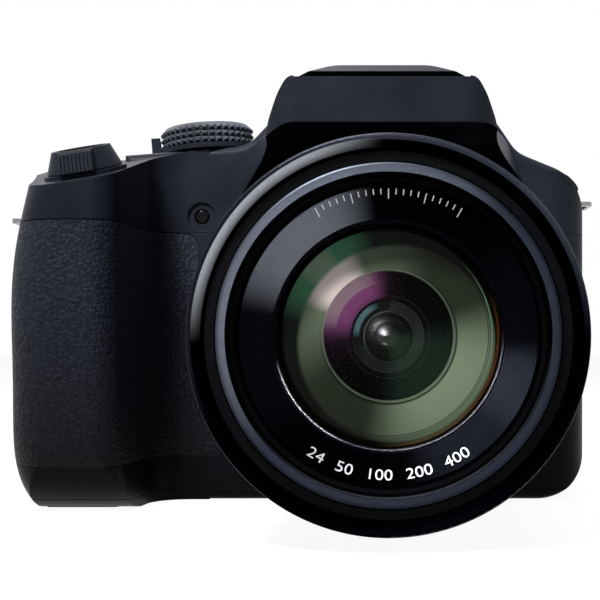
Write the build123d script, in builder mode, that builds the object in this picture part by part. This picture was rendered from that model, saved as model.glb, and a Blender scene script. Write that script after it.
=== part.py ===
from build123d import *
from math import atan2, cos, pi, radians, sin, sqrt, tan
import os

# A bridge camera: a long zoom lens in a one-piece body with a deep grip, an electronic viewfinder and a
# pop-up flash. Millimetres. X points to the right of someone who faces the lens, Y to the rear, Z up. The
# origin is at the tripod socket, on the base. Distances to the left and to the front are positive numbers.
# A name that ends in fall is how far something lies below the camera's highest point.

# Whole body
overall_height = 94.3
body_right = 46.9
body_left = 83.3
body_front = 11.0
body_rear = 24.0
lens_height = 38.0
case_wall = 2.3
rubber_skin = 1.1

# Clearances that many pieces share
seam = 0.1
slack = 0.3
running_fit = 0.06
overrun = 1.0

# Trunk: the body seen from the front, from the base to the deck, the shoulder and the rear of the hump
trunk_left = 62.0
trunk_corner = 12.0
trunk_edge_round = 1.8
trunk_side_round = 10.0
trunk_back_round = 4.0
shoulder_fall = 19.5
shoulder_height = overall_height - shoulder_fall
shoulder_radius = 13.3
shoulder_foot_x = 30.2
shoulder_foot_fall = 12.7
shoulder_foot_height = overall_height - shoulder_foot_fall
rear_hump_fall = 3.8
rear_hump_top = overall_height - rear_hump_fall
rear_hump_right = 24.2
rear_hump_left = 26.2
hump_crown_round = 7.0
hump_foot_round = 8.0
deck_fall = 12.0
deck_height = overall_height - deck_fall
deck_tilt = 4.5
deck_foot_x = 33.2

# Grip: plan sections from the base up, whose nose moves forward and inward
grip_front = 46.5
grip_flank = 57.5
grip_flank_root = 54.0
grip_inner = 42.0
grip_side_front = 8.0
grip_nose_round = 11.5
grip_flank_round = 6.5
grip_root_round = 9.0
grip_back_round = 4.0
grip_section_fall = 10.3
grip_section_height = overall_height - grip_section_fall
grip_height_shares = (0.0, 0.06, 0.16, 0.48, 0.74, 0.84, 1.0)
grip_reach_shares = (0.82, 0.855, 0.888, 0.946, 0.982, 0.992, 1.0)
grip_nose_shares = (0.88, 0.938, 0.97, 0.968, 0.93, 0.897, 0.867)
grip_heel = 82.6
grip_heel_round = 8.0
grip_heel_height = 34.0
grip_crown_round = 6.0
grip_crown_fall = 13.8
grip_crown_height = overall_height - grip_crown_fall
grip_toe = 40.9
grip_toe_round = 20.0

# Hump: sections from the front of the fascia back to the body's front face
hump_centre = 1.3
hump_half_width = 22.0
fascia_front = 52.0
flash_cap_rise = 3.8
fascia_height = 9.2
fascia_top = overall_height - flash_cap_rise
fascia_foot = fascia_top - fascia_height
fascia_corner_round = 7.0
flash_cap_front = 45.0
hump_depth = 38.3
hump_foot = overall_height - hump_depth
hump_waist = 30.0
crown_round = 9.0
crown_corner_round = 3.2
hump_side_round = 12.0
hump_flare_round = 14.0
front_width_shares = (0.46, 0.885, 0.98, 1.085)
front_height_shares = (1.0, 0.9576, 0.922, 0.859)
waist_width_shares = (0.47, 0.94, 1.03, 1.2)
waist_height_shares = (1.0, 0.9576, 0.922, 0.83)
rear_width_shares = (0.52, 1.0, 1.31, 1.5)
rear_height_shares = (1.0, 0.9576, 0.9, 0.785)
plan_width_shares = (0.95, 1.18, 2.2)
lens_opening_radius = 48.0
lens_opening_round = 6.0

# Seams between the covers
base_seam_height = 2.6
deck_seam_fall = 31.9
deck_seam_height = overall_height - deck_seam_fall
rear_seam = 13.0

# Zoom lever with the shutter button in it, on its own sloping deck
lever_x = 65.6
lever_y = 33.0
lever_deck_fall = 21.0
lever_deck_height = overall_height - lever_deck_fall
lever_roll = 9.0
lever_pitch = 13.4
plinth_radius = 8.9
plinth_height = 0.9
lever_radius = 8.1
lever_top_radius = 6.3
lever_height = 4.6
lever_bore = 5.3
lever_floor = 1.2
lever_lift = 0.2
lever_tab_width = 7.4
lever_tab_reach = 9.6
lever_tab_top_reach = 7.4
lever_tab_height = 4.4
lever_rib_count = 9
lever_rib_radius = 0.32
lever_stem_radius = 3.2
lever_stem_length = 4.6
shutter_radius = 5.0
shutter_dome = 0.5
shutter_height = 5.2
shutter_stem_radius = 1.6
shutter_stem_length = 8.4

# Mode dial and the power lever under it
dial_x = 43.7
dial_radius = 11.2
dial_height = 5.0
dial_lift = 1.5
dial_rows = 3
dial_teeth = 40
dial_groove = 0.65
dial_chamfer = 0.7
dial_stem_radius = 2.6
dial_stem_length = 5.6
dial_dish_radius = 8.6
dial_dish_depth = 0.25
power_ring_radius = 11.8
power_ring_height = 1.1
power_tab_angle = 188.0
power_tab_reach = 13.4
power_tab_width = 5.0
power_tab_height = 4.2
dial_pocket_gap = 0.5

# Fixed barrel of the lens and its trim ring: distances forward of the origin
barrel_radius = 34.0
barrel_wall = 1.1
barrel_front = 79.0
barrel_flange_radius = 37.0
barrel_flange_back = 6.1
barrel_opening_gap = 0.5
trim_radius = 35.1
trim_back = 76.0
trim_front = 88.2
trim_lip_radius = 32.65
trim_chamfer_radius = 34.5
trim_chamfer_depth = 1.8
trim_edge_round = 0.35
seal_radius = 33.6
seal_length = 2.55

# Zoom stages; behind the filter thread lies a wider relief groove
stage1_radius = 32.3
stage1_wall = 1.1
stage1_foot = 12.0
stage1_front = 85.5
stage1_lip_length = 1.6
stage_flange_length = 1.4
stage2_radius = 30.0
stage2_wall = 1.1
stage2_foot = 14.0
stage2_head_radius = 30.4
stage2_head_front = 88.0
stage2_head_back = 85.9
stage2_head_round = 0.9
stage2_lip_radius = 28.4
stage2_lip_back = 86.5
stage2_thread_radius = 27.5
stage2_thread_back = 82.4
stage2_relief_radius = 28.4
stage2_relief_length = 1.0
stage2_bore = 27.3
cam_radius = 28.5
cam_wall = 0.9
cam_foot = 12.0
cam_front = 66.0
cam_flange_length = 1.2
cam_slot_count = 3
cam_slot_width = 2.4
cam_slot_length = 38.0
cam_slot_middle = 38.0
cam_slot_slant = 20.0

# Front glass and its surrounds
dress_outer_radius = 27.2
dress_front = 81.8
dress_inner_radius = 21.35
dress_back = 77.0
dress_thickness = 1.2
retainer_radius = 21.6
retainer_bore = 20.7
retainer_back = 73.95
retainer_front = 75.7
front_glass_radius = 21.6
front_glass_crown = 76.6
front_glass_edge = 73.6
front_glass_back = 70.2
front_glass_hollow = 71.6
front_cell_bore = 19.6
front_cell_radius = 23.0
front_cell_front = 76.0
front_cell_floor = 68.6
front_cell_back = 66.9

# Inner groups: each a plate on two guide rods, with a tube that holds its glass
mount_plate_radius = 36.0
mount_plate_back = 3.0
mount_plate_front = 6.0
mount_plate_bore = 9.0
mount_plate_flat = 7.2
mount_post_radius = 2.5
mount_post_circle = 31.0
mount_post_count = 4
rod_radius = 1.0
rod_circle = 24.5
rod_back = 3.2
rod_front = 65.0
sleeve_radius = 2.4
carriage_plate = 1.6
carriage_ear_width = 3.4
carriage_ledge = 1.0
carriage_wall = 1.6
variator_radius = 21.0
variator_back = 55.0
variator_front = 61.4
variator_glass_radius = 12.6
variator_glass_crown = 60.8
variator_glass_edge = 59.6
variator_glass_hollow = 58.0
variator_glass_back = 57.2
iris_radius = 16.0
iris_back = 18.0
iris_front = 24.6
iris_hole = 4.8
iris_blades = 7
iris_plate = 0.8
iris_shell = 1.2
relay_glass_radius = 7.1
relay_glass_crown = 24.2
relay_glass_edge = 23.2
relay_glass_hollow = 20.2
relay_glass_back = 19.6
focus_radius = 12.0
focus_back = 8.4
focus_front = 12.0
focus_glass_radius = 7.0
focus_glass_crown = 11.6
focus_glass_edge = 10.9
focus_glass_hollow = 10.0
focus_glass_back = 9.4

# Sensor, frame, boards
sensor_board_width = 30.0
sensor_board_height = 28.0
sensor_board_thickness = 1.2
sensor_front = 2.8
sensor_package_width = 14.0
sensor_package_height = 12.0
sensor_package_thickness = 2.0
heat_plate_width = 24.0
heat_plate_height = 22.0
frame_front = 3.0
frame_thickness = 1.2
frame_gap = 0.2
frame_left = 41.5
frame_fall = 18.3
frame_top = overall_height - frame_fall
frame_window_width = 16.0
frame_window_height = 14.0
post_radius = 2.2
post_inset = 4.0
frame_foot_x = 30.0
frame_foot_y = 6.0
frame_foot_width = 6.0
frame_foot_height = 4.0
frame_notch_width = 14.0
board_front = 6.0
board_thickness = 1.4
board_left = 39.0
board_right = 42.0
board_foot = 8.0
board_top = 70.0
chip_side = 16.0
chip_thickness = 1.6
chip_pitch = 26.0
socket_back = 38.0
socket_mouth = 44.3
socket_width = 6.2
socket_height = 3.4
socket_pitch = 7.2
socket_count = 3

# Monitor
monitor_x = 7.0
monitor_z = 33.9
monitor_width = 66.0
monitor_height = 49.0
monitor_thickness = 3.0
monitor_window_width = 70.0
monitor_window_height = 52.0
monitor_window_thickness = 1.1
monitor_window_corner = 2.0
monitor_view_width = 61.0
monitor_view_height = 46.0

# Viewfinder
finder_x = 1.0
finder_fall = 11.4
finder_z = overall_height - finder_fall
finder_tube_width = 25.0
finder_tube_height = 10.2
finder_tube_wall = 1.1
finder_tube_front = 2.0
finder_tube_back = 23.4
finder_glass_radius = 4.4
finder_glass_back = 21.0
finder_glass_edge = 1.6
finder_glass_bulge = 0.6
finder_cell_length = 3.2
eyecup_width = 35.0
eyecup_height = 14.4
eyecup_back = 31.0
eyecup_corner = 5.0
eyecup_hole_width = 20.0
eyecup_hole_height = 8.6
eyecup_flare = 1.6
diopter_x = 21.8
diopter_radius = 3.4
diopter_thickness = 1.6
diopter_teeth = 20
diopter_groove = 0.35
diopter_stem_radius = 1.5

# Hot shoe
shoe_width = 21.5
shoe_front = 10.5
shoe_back = 9.5
shoe_base = 0.8
shoe_height = 3.3
shoe_channel = 18.8
shoe_mouth = 12.6
shoe_lip = 0.9

# Flash head
hinge_y = 15.0
hinge_radius = 3.1
hinge_pin_radius = 0.8
hinge_ear_x = 11.0
hinge_ear_width = 2.0
hinge_ear_radius = 1.9
cap_wall = 1.6
flash_box_half_width = 12.0
flash_box_front = 46.8
flash_box_back = 19.5
flash_box_fall = 10.3
flash_box_foot = overall_height - flash_box_fall
flash_window_thickness = 0.9
flash_window_width = 20.0
flash_window_height = 6.2
flash_button_angle = 43.0
flash_button_radius = 2.8
flash_button_height = 1.3
flash_button_flange = 0.5
flash_button_front = 1.5

# Focus-assist lamp in the front face
lamp_x = 43.8
lamp_fall = 28.0
lamp_z = overall_height - lamp_fall
lamp_radius = 1.7
lamp_dish_radius = 3.3
lamp_dish_depth = 0.6
lamp_length = 4.0
lamp_round = 0.55

# Strap lugs
lug_fall = 23.5
lug_left_fall = 29.0
lug_z = overall_height - lug_fall
lug_left_z = overall_height - lug_left_fall
lug_back = 8.0
lug_left_front = 6.0
lug_reach = 3.1
lug_left_reach = 5.1
lug_depth = 12.0
lug_thickness = 1.0
lug_slot_width = 1.8
lug_slot_length = 7.6
lug_root = 2.6

# Tripod socket
socket_thread_radius = 3.175
socket_thread_depth = 5.5
socket_flange_radius = 6.0
socket_flange_height = 1.2
socket_boss_radius = 4.8

# Battery, its holder, the card and the capacitor
battery_left = 75.3
battery_width = 14.6
battery_front = 26.0
battery_depth = 31.0
battery_foot = 2.4
battery_height = 43.0
battery_corner = 1.5
holder_wall = 0.8
holder_gap = 0.25
holder_lift = 1.4
card_width = 24.0
card_height = 32.0
card_thickness = 2.1
card_left = 76.2
capacitor_x = 47.5
capacitor_front = 1.5
capacitor_radius = 5.5
capacitor_height = 32.0
capacitor_round = 0.5

# Battery door, hinged at its rear edge, and its latch
door_left = 76.2
door_right = 52.0
door_front = 26.0
door_nose_right = 60.5
door_step = 4.0
door_back = 10.0
door_lift = 0.15
door_thickness = 1.8
door_corner = 1.0
door_barrel_radius = 1.3
door_pin_radius = 0.7
door_pin_length = 1.6
latch_x = 68.0
latch_width = 4.2
latch_length = 8.0
latch_travel = 2.5
latch_height = 1.0
latch_front = 22.0
latch_rib_count = 3

# Side door over the sockets
port_front = 0.5
port_back = 10.6
port_foot = 22.0
port_top = 50.0
port_thickness = 1.5
port_barrel_radius = 0.75
port_pin_radius = 0.4
port_pin_length = 1.2
port_hole_width = 7.0
port_hole_height = 24.0

# Rear controls: name, place to the left, height, radius
rear_button_proud = 0.7
rear_button_flange = 0.7
rear_button_places_share = (
    ("playback_button", 0.575, 0.605, 0.036),
    ("delete_button", 0.635, 0.145, 0.036),
    ("lock_button", 0.53, 0.77, 0.036),
    ("viewfinder_button", 0.395, 0.80, 0.036),
)
pad_x = 45.5
pad_z = 36.5
pad_radius = 10.0
pad_bore = 4.4
pad_set_radius = 4.1
pad_travel = 0.5
rear_dial_x = 63.0
rear_dial_y = 17.2
rear_dial_fall = 23.1
rear_dial_z = overall_height - rear_dial_fall
rear_dial_radius = 9.2
rear_dial_thickness = 3.2
rear_dial_teeth = 36
rear_dial_groove = 0.5
rear_dial_axle = 1.2
rear_dial_shelf = 1.2
thumb_x = 70.5
thumb_z = 47.0
thumb_width = 17.0
thumb_height = 26.0
thumb_thickness = 2.6
thumb_corner = 6.0

# Buttons on the deck
top_button_radius = 2.9
top_button_proud = 0.8
top_button_flange = 0.7
film_button_x = 61.5
burst_button_x = 69.6
top_button_y = 9.0

# Zoom motor
motor_radius = 4.8
motor_x = 33.0
motor_z = 8.4
motor_flat = 3.8
motor_length = 10.0
motor_boss_radius = 2.2
motor_boss_length = 1.2

# Screws
screw_radius = 0.9
screw_head_radius = 1.7
screw_head_height = 0.7

# Grip rubber's outline, seen from the front
rubber_foot = 10.3
rubber_top = deck_seam_height - seam
rubber_right = 44.4
rubber_edge_radius = 47.0
rubber_back = 13.0
rubber_corner = 3.5
rubber_foot_corner = 1.2


def deck_level(x):
    """Height of the main deck at a place across the body."""
    return deck_height + (x + dial_x) * tan(radians(deck_tilt))


def deck_plane(lift):
    """The main deck's plane under the mode dial, raised by lift."""
    rise = tan(radians(deck_tilt))
    return Plane(origin=(-dial_x, 0, deck_height), x_dir=(1, 0, rise), z_dir=(-rise, 0, 1)).offset(lift)


def lever_plane(lift):
    """The sloping deck on top of the grip, raised by lift."""
    roll = tan(radians(lever_roll))
    pitch = tan(radians(lever_pitch))
    origin = (-lever_x, -lever_y, lever_deck_height)
    return Plane(origin=origin, x_dir=(1, 0, roll), z_dir=(-roll, -pitch, 1)).offset(lift)


def trunk_block(inset):
    """The body behind its front face, with every wall moved inward by inset."""
    with BuildPart() as block:
        with BuildSketch(Plane.XZ.offset(-(body_rear - inset))):
            with BuildLine():
                FilletPolyline(
                    (-trunk_left, 0),
                    (body_right, 0),
                    (body_right, shoulder_height),
                    (shoulder_foot_x, shoulder_foot_height),
                    (rear_hump_right, rear_hump_top),
                    (-rear_hump_left, rear_hump_top),
                    (-deck_foot_x, deck_level(-deck_foot_x)),
                    (-trunk_left, deck_level(-trunk_left)),
                    radius=(
                        0,
                        trunk_corner,
                        shoulder_radius,
                        hump_foot_round,
                        hump_crown_round,
                        hump_crown_round,
                        hump_foot_round,
                        0,
                    ),
                    close=True,
                )
            make_face()
            if inset:
                offset(amount=-inset, mode=Mode.REPLACE)
        extrude(amount=body_front + body_rear - 2 * inset)
        if not inset:
            fillet(block.faces().sort_by(Axis.Y)[0].edges(), trunk_edge_round)
        with BuildSketch(Plane.XY.offset(-overrun)):
            with BuildLine():
                FilletPolyline(
                    (-trunk_left - overrun, body_rear),
                    (-trunk_left - overrun, -body_front),
                    (body_right, -body_front),
                    (body_right, body_rear),
                    radius=(0, 0, trunk_side_round, trunk_back_round),
                    close=True,
                )
            make_face()
            if inset:
                offset(amount=-inset, mode=Mode.REPLACE)
        extrude(amount=overall_height, mode=Mode.INTERSECT)
    return block.part


def grip_block(inset):
    """The grip, which runs from its nose back to the rear of the body."""
    with BuildPart() as block:
        for height_share, reach_share, nose_share in zip(
            grip_height_shares, grip_reach_shares, grip_nose_shares
        ):
            with BuildSketch(Plane.XY.offset(height_share * grip_section_height)):
                with BuildLine():
                    FilletPolyline(
                        (-body_left, body_rear),
                        (-body_left, -grip_side_front),
                        (-body_left * nose_share, -grip_front * reach_share),
                        (-grip_flank, -grip_front * reach_share),
                        (-grip_flank_root, -body_front),
                        (-grip_inner, -body_front),
                        (-grip_inner, body_rear),
                        radius=(
                            grip_back_round,
                            grip_nose_round,
                            grip_nose_round,
                            grip_flank_round,
                            grip_root_round,
                            0,
                            0,
                        ),
                        close=True,
                    )
                make_face()
                if inset:
                    offset(amount=-inset, mode=Mode.REPLACE)
        loft()
        with BuildSketch(Plane.XZ.offset(-body_rear - overrun)):
            with BuildLine():
                FilletPolyline(
                    (-grip_inner + case_wall, 0),
                    (-grip_heel, 0),
                    (-body_left - seam, grip_heel_height),
                    (-body_left - seam, grip_crown_height),
                    (-grip_inner + case_wall, grip_crown_height + case_wall),
                    radius=(0, grip_heel_round, grip_nose_round, grip_crown_round, 0),
                    close=True,
                )
            make_face()
            if inset:
                offset(amount=-inset, mode=Mode.REPLACE)
        extrude(amount=grip_front + body_rear + 2 * overrun, mode=Mode.INTERSECT)
        with BuildSketch(Plane.YZ.offset(-body_left - overrun)):
            with BuildLine():
                FilletPolyline(
                    (body_rear + overrun, 0),
                    (-grip_toe, 0),
                    (-grip_front - overrun, grip_section_height),
                    (body_rear + overrun, grip_section_height),
                    radius=(0, grip_toe_round, 0, 0),
                    close=True,
                )
            make_face()
            if inset:
                offset(amount=-inset, mode=Mode.REPLACE)
        extrude(amount=body_left + overrun, mode=Mode.INTERSECT)
        split(bisect_by=lever_plane(-inset), keep=Keep.BOTTOM)
        split(bisect_by=deck_plane(-inset), keep=Keep.BOTTOM)
    return block.part


def hump_block(inset):
    """The hump over the lens, lofted from the fascia back to the shoulders."""
    stations = (
        (fascia_front, front_width_shares, front_height_shares),
        (hump_waist, waist_width_shares, waist_height_shares),
        (body_front, rear_width_shares, rear_height_shares),
    )
    with BuildPart() as block:
        for forward, width_shares, height_shares in stations:
            half = [
                (hump_half_width * width, overall_height * height)
                for width, height in zip(width_shares, height_shares)
            ]
            right = [(-hump_centre + width, height) for width, height in half]
            left = [(-hump_centre - width, height) for width, height in reversed(half)]
            rounds = (crown_round, crown_corner_round, hump_side_round, hump_flare_round)
            with BuildSketch(Plane.XZ.offset(forward)):
                with BuildLine():
                    FilletPolyline(
                        *right,
                        (right[-1][0], hump_foot),
                        (left[0][0], hump_foot),
                        *left,
                        radius=(*rounds, 0, 0, *reversed(rounds)),
                        close=True,
                    )
                make_face()
                if inset:
                    offset(amount=-inset, mode=Mode.REPLACE)
        loft()
        with BuildSketch(Plane.YZ.offset(-body_left)):
            with BuildLine():
                Polyline(
                    (-fascia_front, hump_foot),
                    (-fascia_front, fascia_top),
                    (-flash_cap_front, overall_height),
                    (-body_front + overrun, overall_height),
                    (-body_front + overrun, hump_foot),
                    close=True,
                )
            make_face()
            if inset:
                offset(amount=-inset, mode=Mode.REPLACE)
        extrude(amount=2 * body_left, mode=Mode.INTERSECT)
        with BuildSketch(Plane.XY.offset(hump_foot - overrun)):
            plan = [hump_half_width * share for share in plan_width_shares]
            plan_rounds = (fascia_corner_round, fascia_corner_round)
            with BuildLine():
                FilletPolyline(
                    (-hump_centre + plan[0], -fascia_front),
                    (-hump_centre + plan[1], -flash_cap_front),
                    (-hump_centre + plan[2], overrun),
                    (-hump_centre - plan[2], overrun),
                    (-hump_centre - plan[1], -flash_cap_front),
                    (-hump_centre - plan[0], -fascia_front),
                    radius=(*plan_rounds, 0, 0, *plan_rounds),
                    close=True,
                )
            make_face()
            if inset:
                offset(amount=-inset, mode=Mode.REPLACE)
        extrude(amount=overall_height, mode=Mode.INTERSECT)
        with BuildSketch(Plane.XZ.offset(body_front + inset)):
            with Locations((0, lens_height)):
                Circle(lens_opening_radius + inset)
            with Locations((0, fascia_foot + inset)):
                Rectangle(
                    4 * lens_opening_radius,
                    2 * lens_opening_radius,
                    align=(Align.CENTER, Align.MIN),
                    mode=Mode.SUBTRACT,
                )
            corners = vertices().filter_by(lambda v: v.Y > fascia_foot + inset - seam)
            if corners:
                fillet(corners, lens_opening_round)
        extrude(amount=fascia_front, mode=Mode.SUBTRACT)
    return block.part


def whole_block(inset):
    """Trunk, grip and hump as one solid, with every wall moved inward by inset."""
    pieces = (trunk_block(inset), grip_block(inset), hump_block(inset))
    with BuildPart() as block:
        for piece in pieces:
            add(piece)
    return block.part


def slab(low, high):
    """A solid block between two corners."""
    with BuildPart(mode=Mode.PRIVATE) as block:
        with BuildSketch(Plane.XY.offset(low[2])):
            with Locations((low[0], low[1])):
                Rectangle(high[0] - low[0], high[1] - low[1], align=(Align.MIN, Align.MIN))
        extrude(amount=high[2] - low[2])
    return block.part


def finish(part, name):
    """Names a finished piece and writes it."""
    part.label = name
    export_step(part, f"parts/{name}.step")


def lens_face(*points, rounds=None):
    """A closed outline of (radius, distance forward) points beside the lens axis."""
    with BuildSketch(lens_section, mode=Mode.PRIVATE) as face:
        with BuildLine():
            if rounds:
                FilletPolyline(*points, radius=rounds, close=True)
            else:
                Polyline(*points, close=True)
        make_face()
    return face.sketch


def tube_face(inner, outer, back, front):
    """The section of a plain tube round the lens axis."""
    return lens_face((inner, back), (outer, back), (outer, front), (inner, front))


def cap_sag(radius, sag):
    """How far a spherical cap has dropped at half its radius."""
    sphere = (radius**2 + sag**2) / (2 * sag)
    return sphere - sqrt(sphere**2 - (radius / 2) ** 2)


def glass_face(radius, back, hollow, edge, crown):
    """The section of a lens element, hollow behind and crowned in front."""
    half = radius / 2
    with BuildSketch(lens_section, mode=Mode.PRIVATE) as face:
        with BuildLine():
            ThreePointArc((0, crown), (half, crown - cap_sag(radius, crown - edge)), (radius, edge))
            Line((radius, edge), (radius, back))
            ThreePointArc((radius, back), (half, hollow - cap_sag(radius, hollow - back)), (0, hollow))
            Line((0, hollow), (0, crown))
        make_face()
    return face.sketch


def disc_face(plane, radius, x=0, y=0):
    """A circle on a plane."""
    with BuildSketch(plane, mode=Mode.PRIVATE) as face:
        with Locations((x, y)):
            Circle(radius)
    return face.sketch


def box_face(plane, width, height, x=0, y=0, corner=0):
    """A rectangle on a plane, with rounded corners where corner is given."""
    with BuildSketch(plane, mode=Mode.PRIVATE) as face:
        with Locations((x, y)):
            if corner:
                RectangleRounded(width, height, corner)
            else:
                Rectangle(width, height)
    return face.sketch


lens_section = Plane(origin=(0, 0, lens_height), x_dir=(1, 0, 0), z_dir=(0, 0, -1))
lens_axis = Axis((0, 0, lens_height), (0, 1, 0))


def lens_plane(forward):
    """A plane across the lens axis, facing forward."""
    return Plane(origin=(0, -forward, lens_height), x_dir=(1, 0, 0), z_dir=(0, -1, 0))


def rear_plane(back):
    """A plane across the body that faces the rear; its own x is the distance to the left."""
    return Plane(origin=(0, back, 0), x_dir=(-1, 0, 0), z_dir=(0, 1, 0))


def upright(plane):
    """A plane that stands on another one and holds its normal, for turned shapes."""
    return Plane(origin=plane.origin, x_dir=plane.x_dir, z_dir=-plane.y_dir)


def teeth_face(plane, radius, depth, count):
    """Notches round the rim of a knurled wheel."""
    half = pi * radius / count / 2
    with BuildSketch(plane, mode=Mode.PRIVATE) as face:
        with PolarLocations(radius - depth, count):
            Polygon((0, 0), (depth + half, -half - depth), (depth + half, half + depth), align=None)
    return face.sketch


def push_button(plane, radius, proud, flange, wall):
    """A button that stands proud of a wall and is held by a flange behind it."""
    with BuildPart(mode=Mode.PRIVATE) as block:
        extrude(disc_face(plane, radius), amount=proud)
        fillet(block.edges().sort_by(Axis(plane.origin, plane.z_dir))[-1], proud / 2)
        extrude(disc_face(plane, radius), amount=-wall - seam)
        extrude(disc_face(plane.offset(-wall - seam), radius + flange), amount=-flange)
    return block.part


def carriage(radius, glass_radius, back, step, front):
    """A lens holder that slides on the two guide rods."""
    bore = glass_radius - carriage_ledge
    seat = glass_radius + seam
    tube = seat + carriage_wall
    plate = back + carriage_plate
    outline = (
        (bore, back),
        (radius, back),
        (radius, plate),
        (tube, plate),
        (tube, front),
        (seat, front),
        (seat, step),
        (bore, step),
    )
    with BuildPart(mode=Mode.PRIVATE) as block:
        revolve(lens_face(*outline), axis=lens_axis)
        extrude(box_face(lens_plane(back), 2 * rod_circle, carriage_ear_width), amount=carriage_plate)
        for side in (-rod_circle, rod_circle):
            extrude(disc_face(lens_plane(back), sleeve_radius, side), amount=front - back)
            extrude(
                disc_face(lens_plane(back), rod_radius + running_fit, side),
                amount=front - back,
                mode=Mode.SUBTRACT,
            )
        extrude(disc_face(lens_plane(back), bore), amount=carriage_plate, mode=Mode.SUBTRACT)
    return block.part


os.makedirs("parts", exist_ok=True)
case = whole_block(0)
skin_core = whole_block(rubber_skin)
cavity = whole_block(case_wall)

lens_hole_radius = barrel_radius + barrel_opening_gap
barrel_bore = barrel_radius - barrel_wall
inner_face = body_front - case_wall
rear_wall = body_rear - case_wall
hinge_height = overall_height - hinge_radius
pocket_floor = fascia_foot + case_wall
lever_axis_plane = lever_plane(0)
dial_plane = deck_plane(0)
port_middle = (port_foot + port_top) / 2
port_axis_x = body_right - port_barrel_radius
port_axis_y = port_back + port_barrel_radius
motor_back = frame_front - frame_gap


def rubber_region(gap):
    """The solid inside which the grip rubber lies, drawn in by gap at its edges."""
    with BuildPart(mode=Mode.PRIVATE) as region:
        with BuildSketch(Plane.XZ.offset(-rubber_back)):
            with BuildLine():
                foot_x = -sqrt(rubber_edge_radius**2 - (lens_height - rubber_foot) ** 2)
                bend_height = lens_height + sqrt(rubber_edge_radius**2 - rubber_right**2)
                Polyline(
                    (-rubber_right, bend_height),
                    (-rubber_right, rubber_top),
                    (-body_left - overrun, rubber_top),
                    (-body_left - overrun, rubber_foot),
                    (foot_x, rubber_foot),
                )
                ThreePointArc(
                    (foot_x, rubber_foot), (-rubber_edge_radius, lens_height), (-rubber_right, bend_height)
                )
            make_face()
            fillet(vertices().sort_by(Axis.X)[-1], rubber_foot_corner)
            fillet(vertices().filter_by(lambda v: v.Y > rubber_top - seam).sort_by(Axis.X)[-1], rubber_corner)
            if gap:
                offset(amount=-gap, mode=Mode.REPLACE)
        extrude(amount=grip_front + rubber_back + overrun)
    return region.part


# Front cover, with the opening for the barrel, the rubber's recess and the side door's recess
rubber_space = rubber_region(0)
rubber_solid = rubber_region(seam)
front_low = (-body_left - overrun, -grip_front - overrun, base_seam_height + seam / 2)
front_high = (body_right + overrun, rear_seam - seam / 2, deck_seam_height - seam / 2)
front_region = slab(front_low, front_high)
with BuildPart() as rubber_recess:
    add(rubber_space)
    add(skin_core, mode=Mode.SUBTRACT)
port_recess = slab(
    (body_right - port_thickness - seam, port_front - slack, port_foot - slack),
    (body_right + overrun, port_back + 2 * port_barrel_radius + slack, port_top + slack),
)
with BuildPart() as front_cover:
    add(case)
    add(cavity, mode=Mode.SUBTRACT)
    add(front_region, mode=Mode.INTERSECT)
    add(rubber_recess.part, mode=Mode.SUBTRACT)
    extrude(disc_face(lens_plane(0), lens_hole_radius), amount=body_front + overrun, mode=Mode.SUBTRACT)
    add(port_recess, mode=Mode.SUBTRACT)
    extrude(
        box_face(
            Plane.YZ.offset(body_right - 2 * case_wall),
            port_hole_width,
            port_hole_height,
            (port_front + port_back) / 2,
            port_middle,
        ),
        amount=3 * case_wall,
        mode=Mode.SUBTRACT,
    )
    extrude(
        disc_face(
            Plane.XY.offset(port_foot - port_pin_length - slack),
            port_pin_radius + running_fit,
            port_axis_x,
            port_axis_y,
        ),
        amount=port_top - port_foot + 2 * port_pin_length + 2 * slack,
        mode=Mode.SUBTRACT,
    )
finish(front_cover.part, "front_cover")

# Rubber grip cover: a skin over the grip's nose and flank, round to the side
with BuildPart() as grip_rubber:
    add(case)
    add(skin_core, mode=Mode.SUBTRACT)
    add(rubber_solid, mode=Mode.INTERSECT)
finish(grip_rubber.part, "grip_rubber")

# Rear cover, with the monitor's opening and the holes for its controls
pad_ring_radius = pad_radius + slack
button_places = [
    (name, body_left * left_share, overall_height * height_share, overall_height * radius_share)
    for name, left_share, height_share, radius_share in rear_button_places_share
]
rear_low = (-body_left - overrun, rear_seam + seam / 2, base_seam_height + seam / 2)
rear_high = (body_right + overrun, body_rear + overrun, deck_seam_height - seam / 2)
rear_region = slab(rear_low, rear_high)
with BuildPart() as rear_cover:
    add(case)
    add(cavity, mode=Mode.SUBTRACT)
    add(rear_region, mode=Mode.INTERSECT)
    extrude(
        box_face(
            rear_plane(rear_wall - overrun),
            monitor_view_width,
            monitor_view_height,
            -monitor_x,
            monitor_z,
        ),
        amount=case_wall + 2 * overrun,
        mode=Mode.SUBTRACT,
    )
    extrude(
        box_face(
            rear_plane(body_rear - monitor_window_thickness - seam),
            monitor_window_width + 2 * seam,
            monitor_window_height + 2 * seam,
            -monitor_x,
            monitor_z,
            monitor_window_corner,
        ),
        amount=case_wall,
        mode=Mode.SUBTRACT,
    )
    for name, left, height, radius in button_places:
        if height < deck_seam_height:
            extrude(
                disc_face(rear_plane(rear_wall - overrun), radius + slack / 2, left, height),
                amount=case_wall + 2 * overrun,
                mode=Mode.SUBTRACT,
            )
    extrude(
        disc_face(rear_plane(rear_wall - overrun), pad_ring_radius, pad_x, pad_z),
        amount=case_wall + 2 * overrun,
        mode=Mode.SUBTRACT,
    )
finish(rear_cover.part, "rear_cover")

# Bottom cover, with the battery door's opening, its hinge and the tripod socket's bore
door_outline = (
    (-door_left, door_back),
    (-door_left, -door_front),
    (-door_nose_right, -door_front),
    (-door_right, -door_step),
    (-door_right, door_back),
)
door_hinge_y = door_back + door_barrel_radius + slack
door_hinge_z = door_lift + door_barrel_radius
door_width = door_left - door_right
door_end = Plane.YZ.offset(-door_left)


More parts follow.
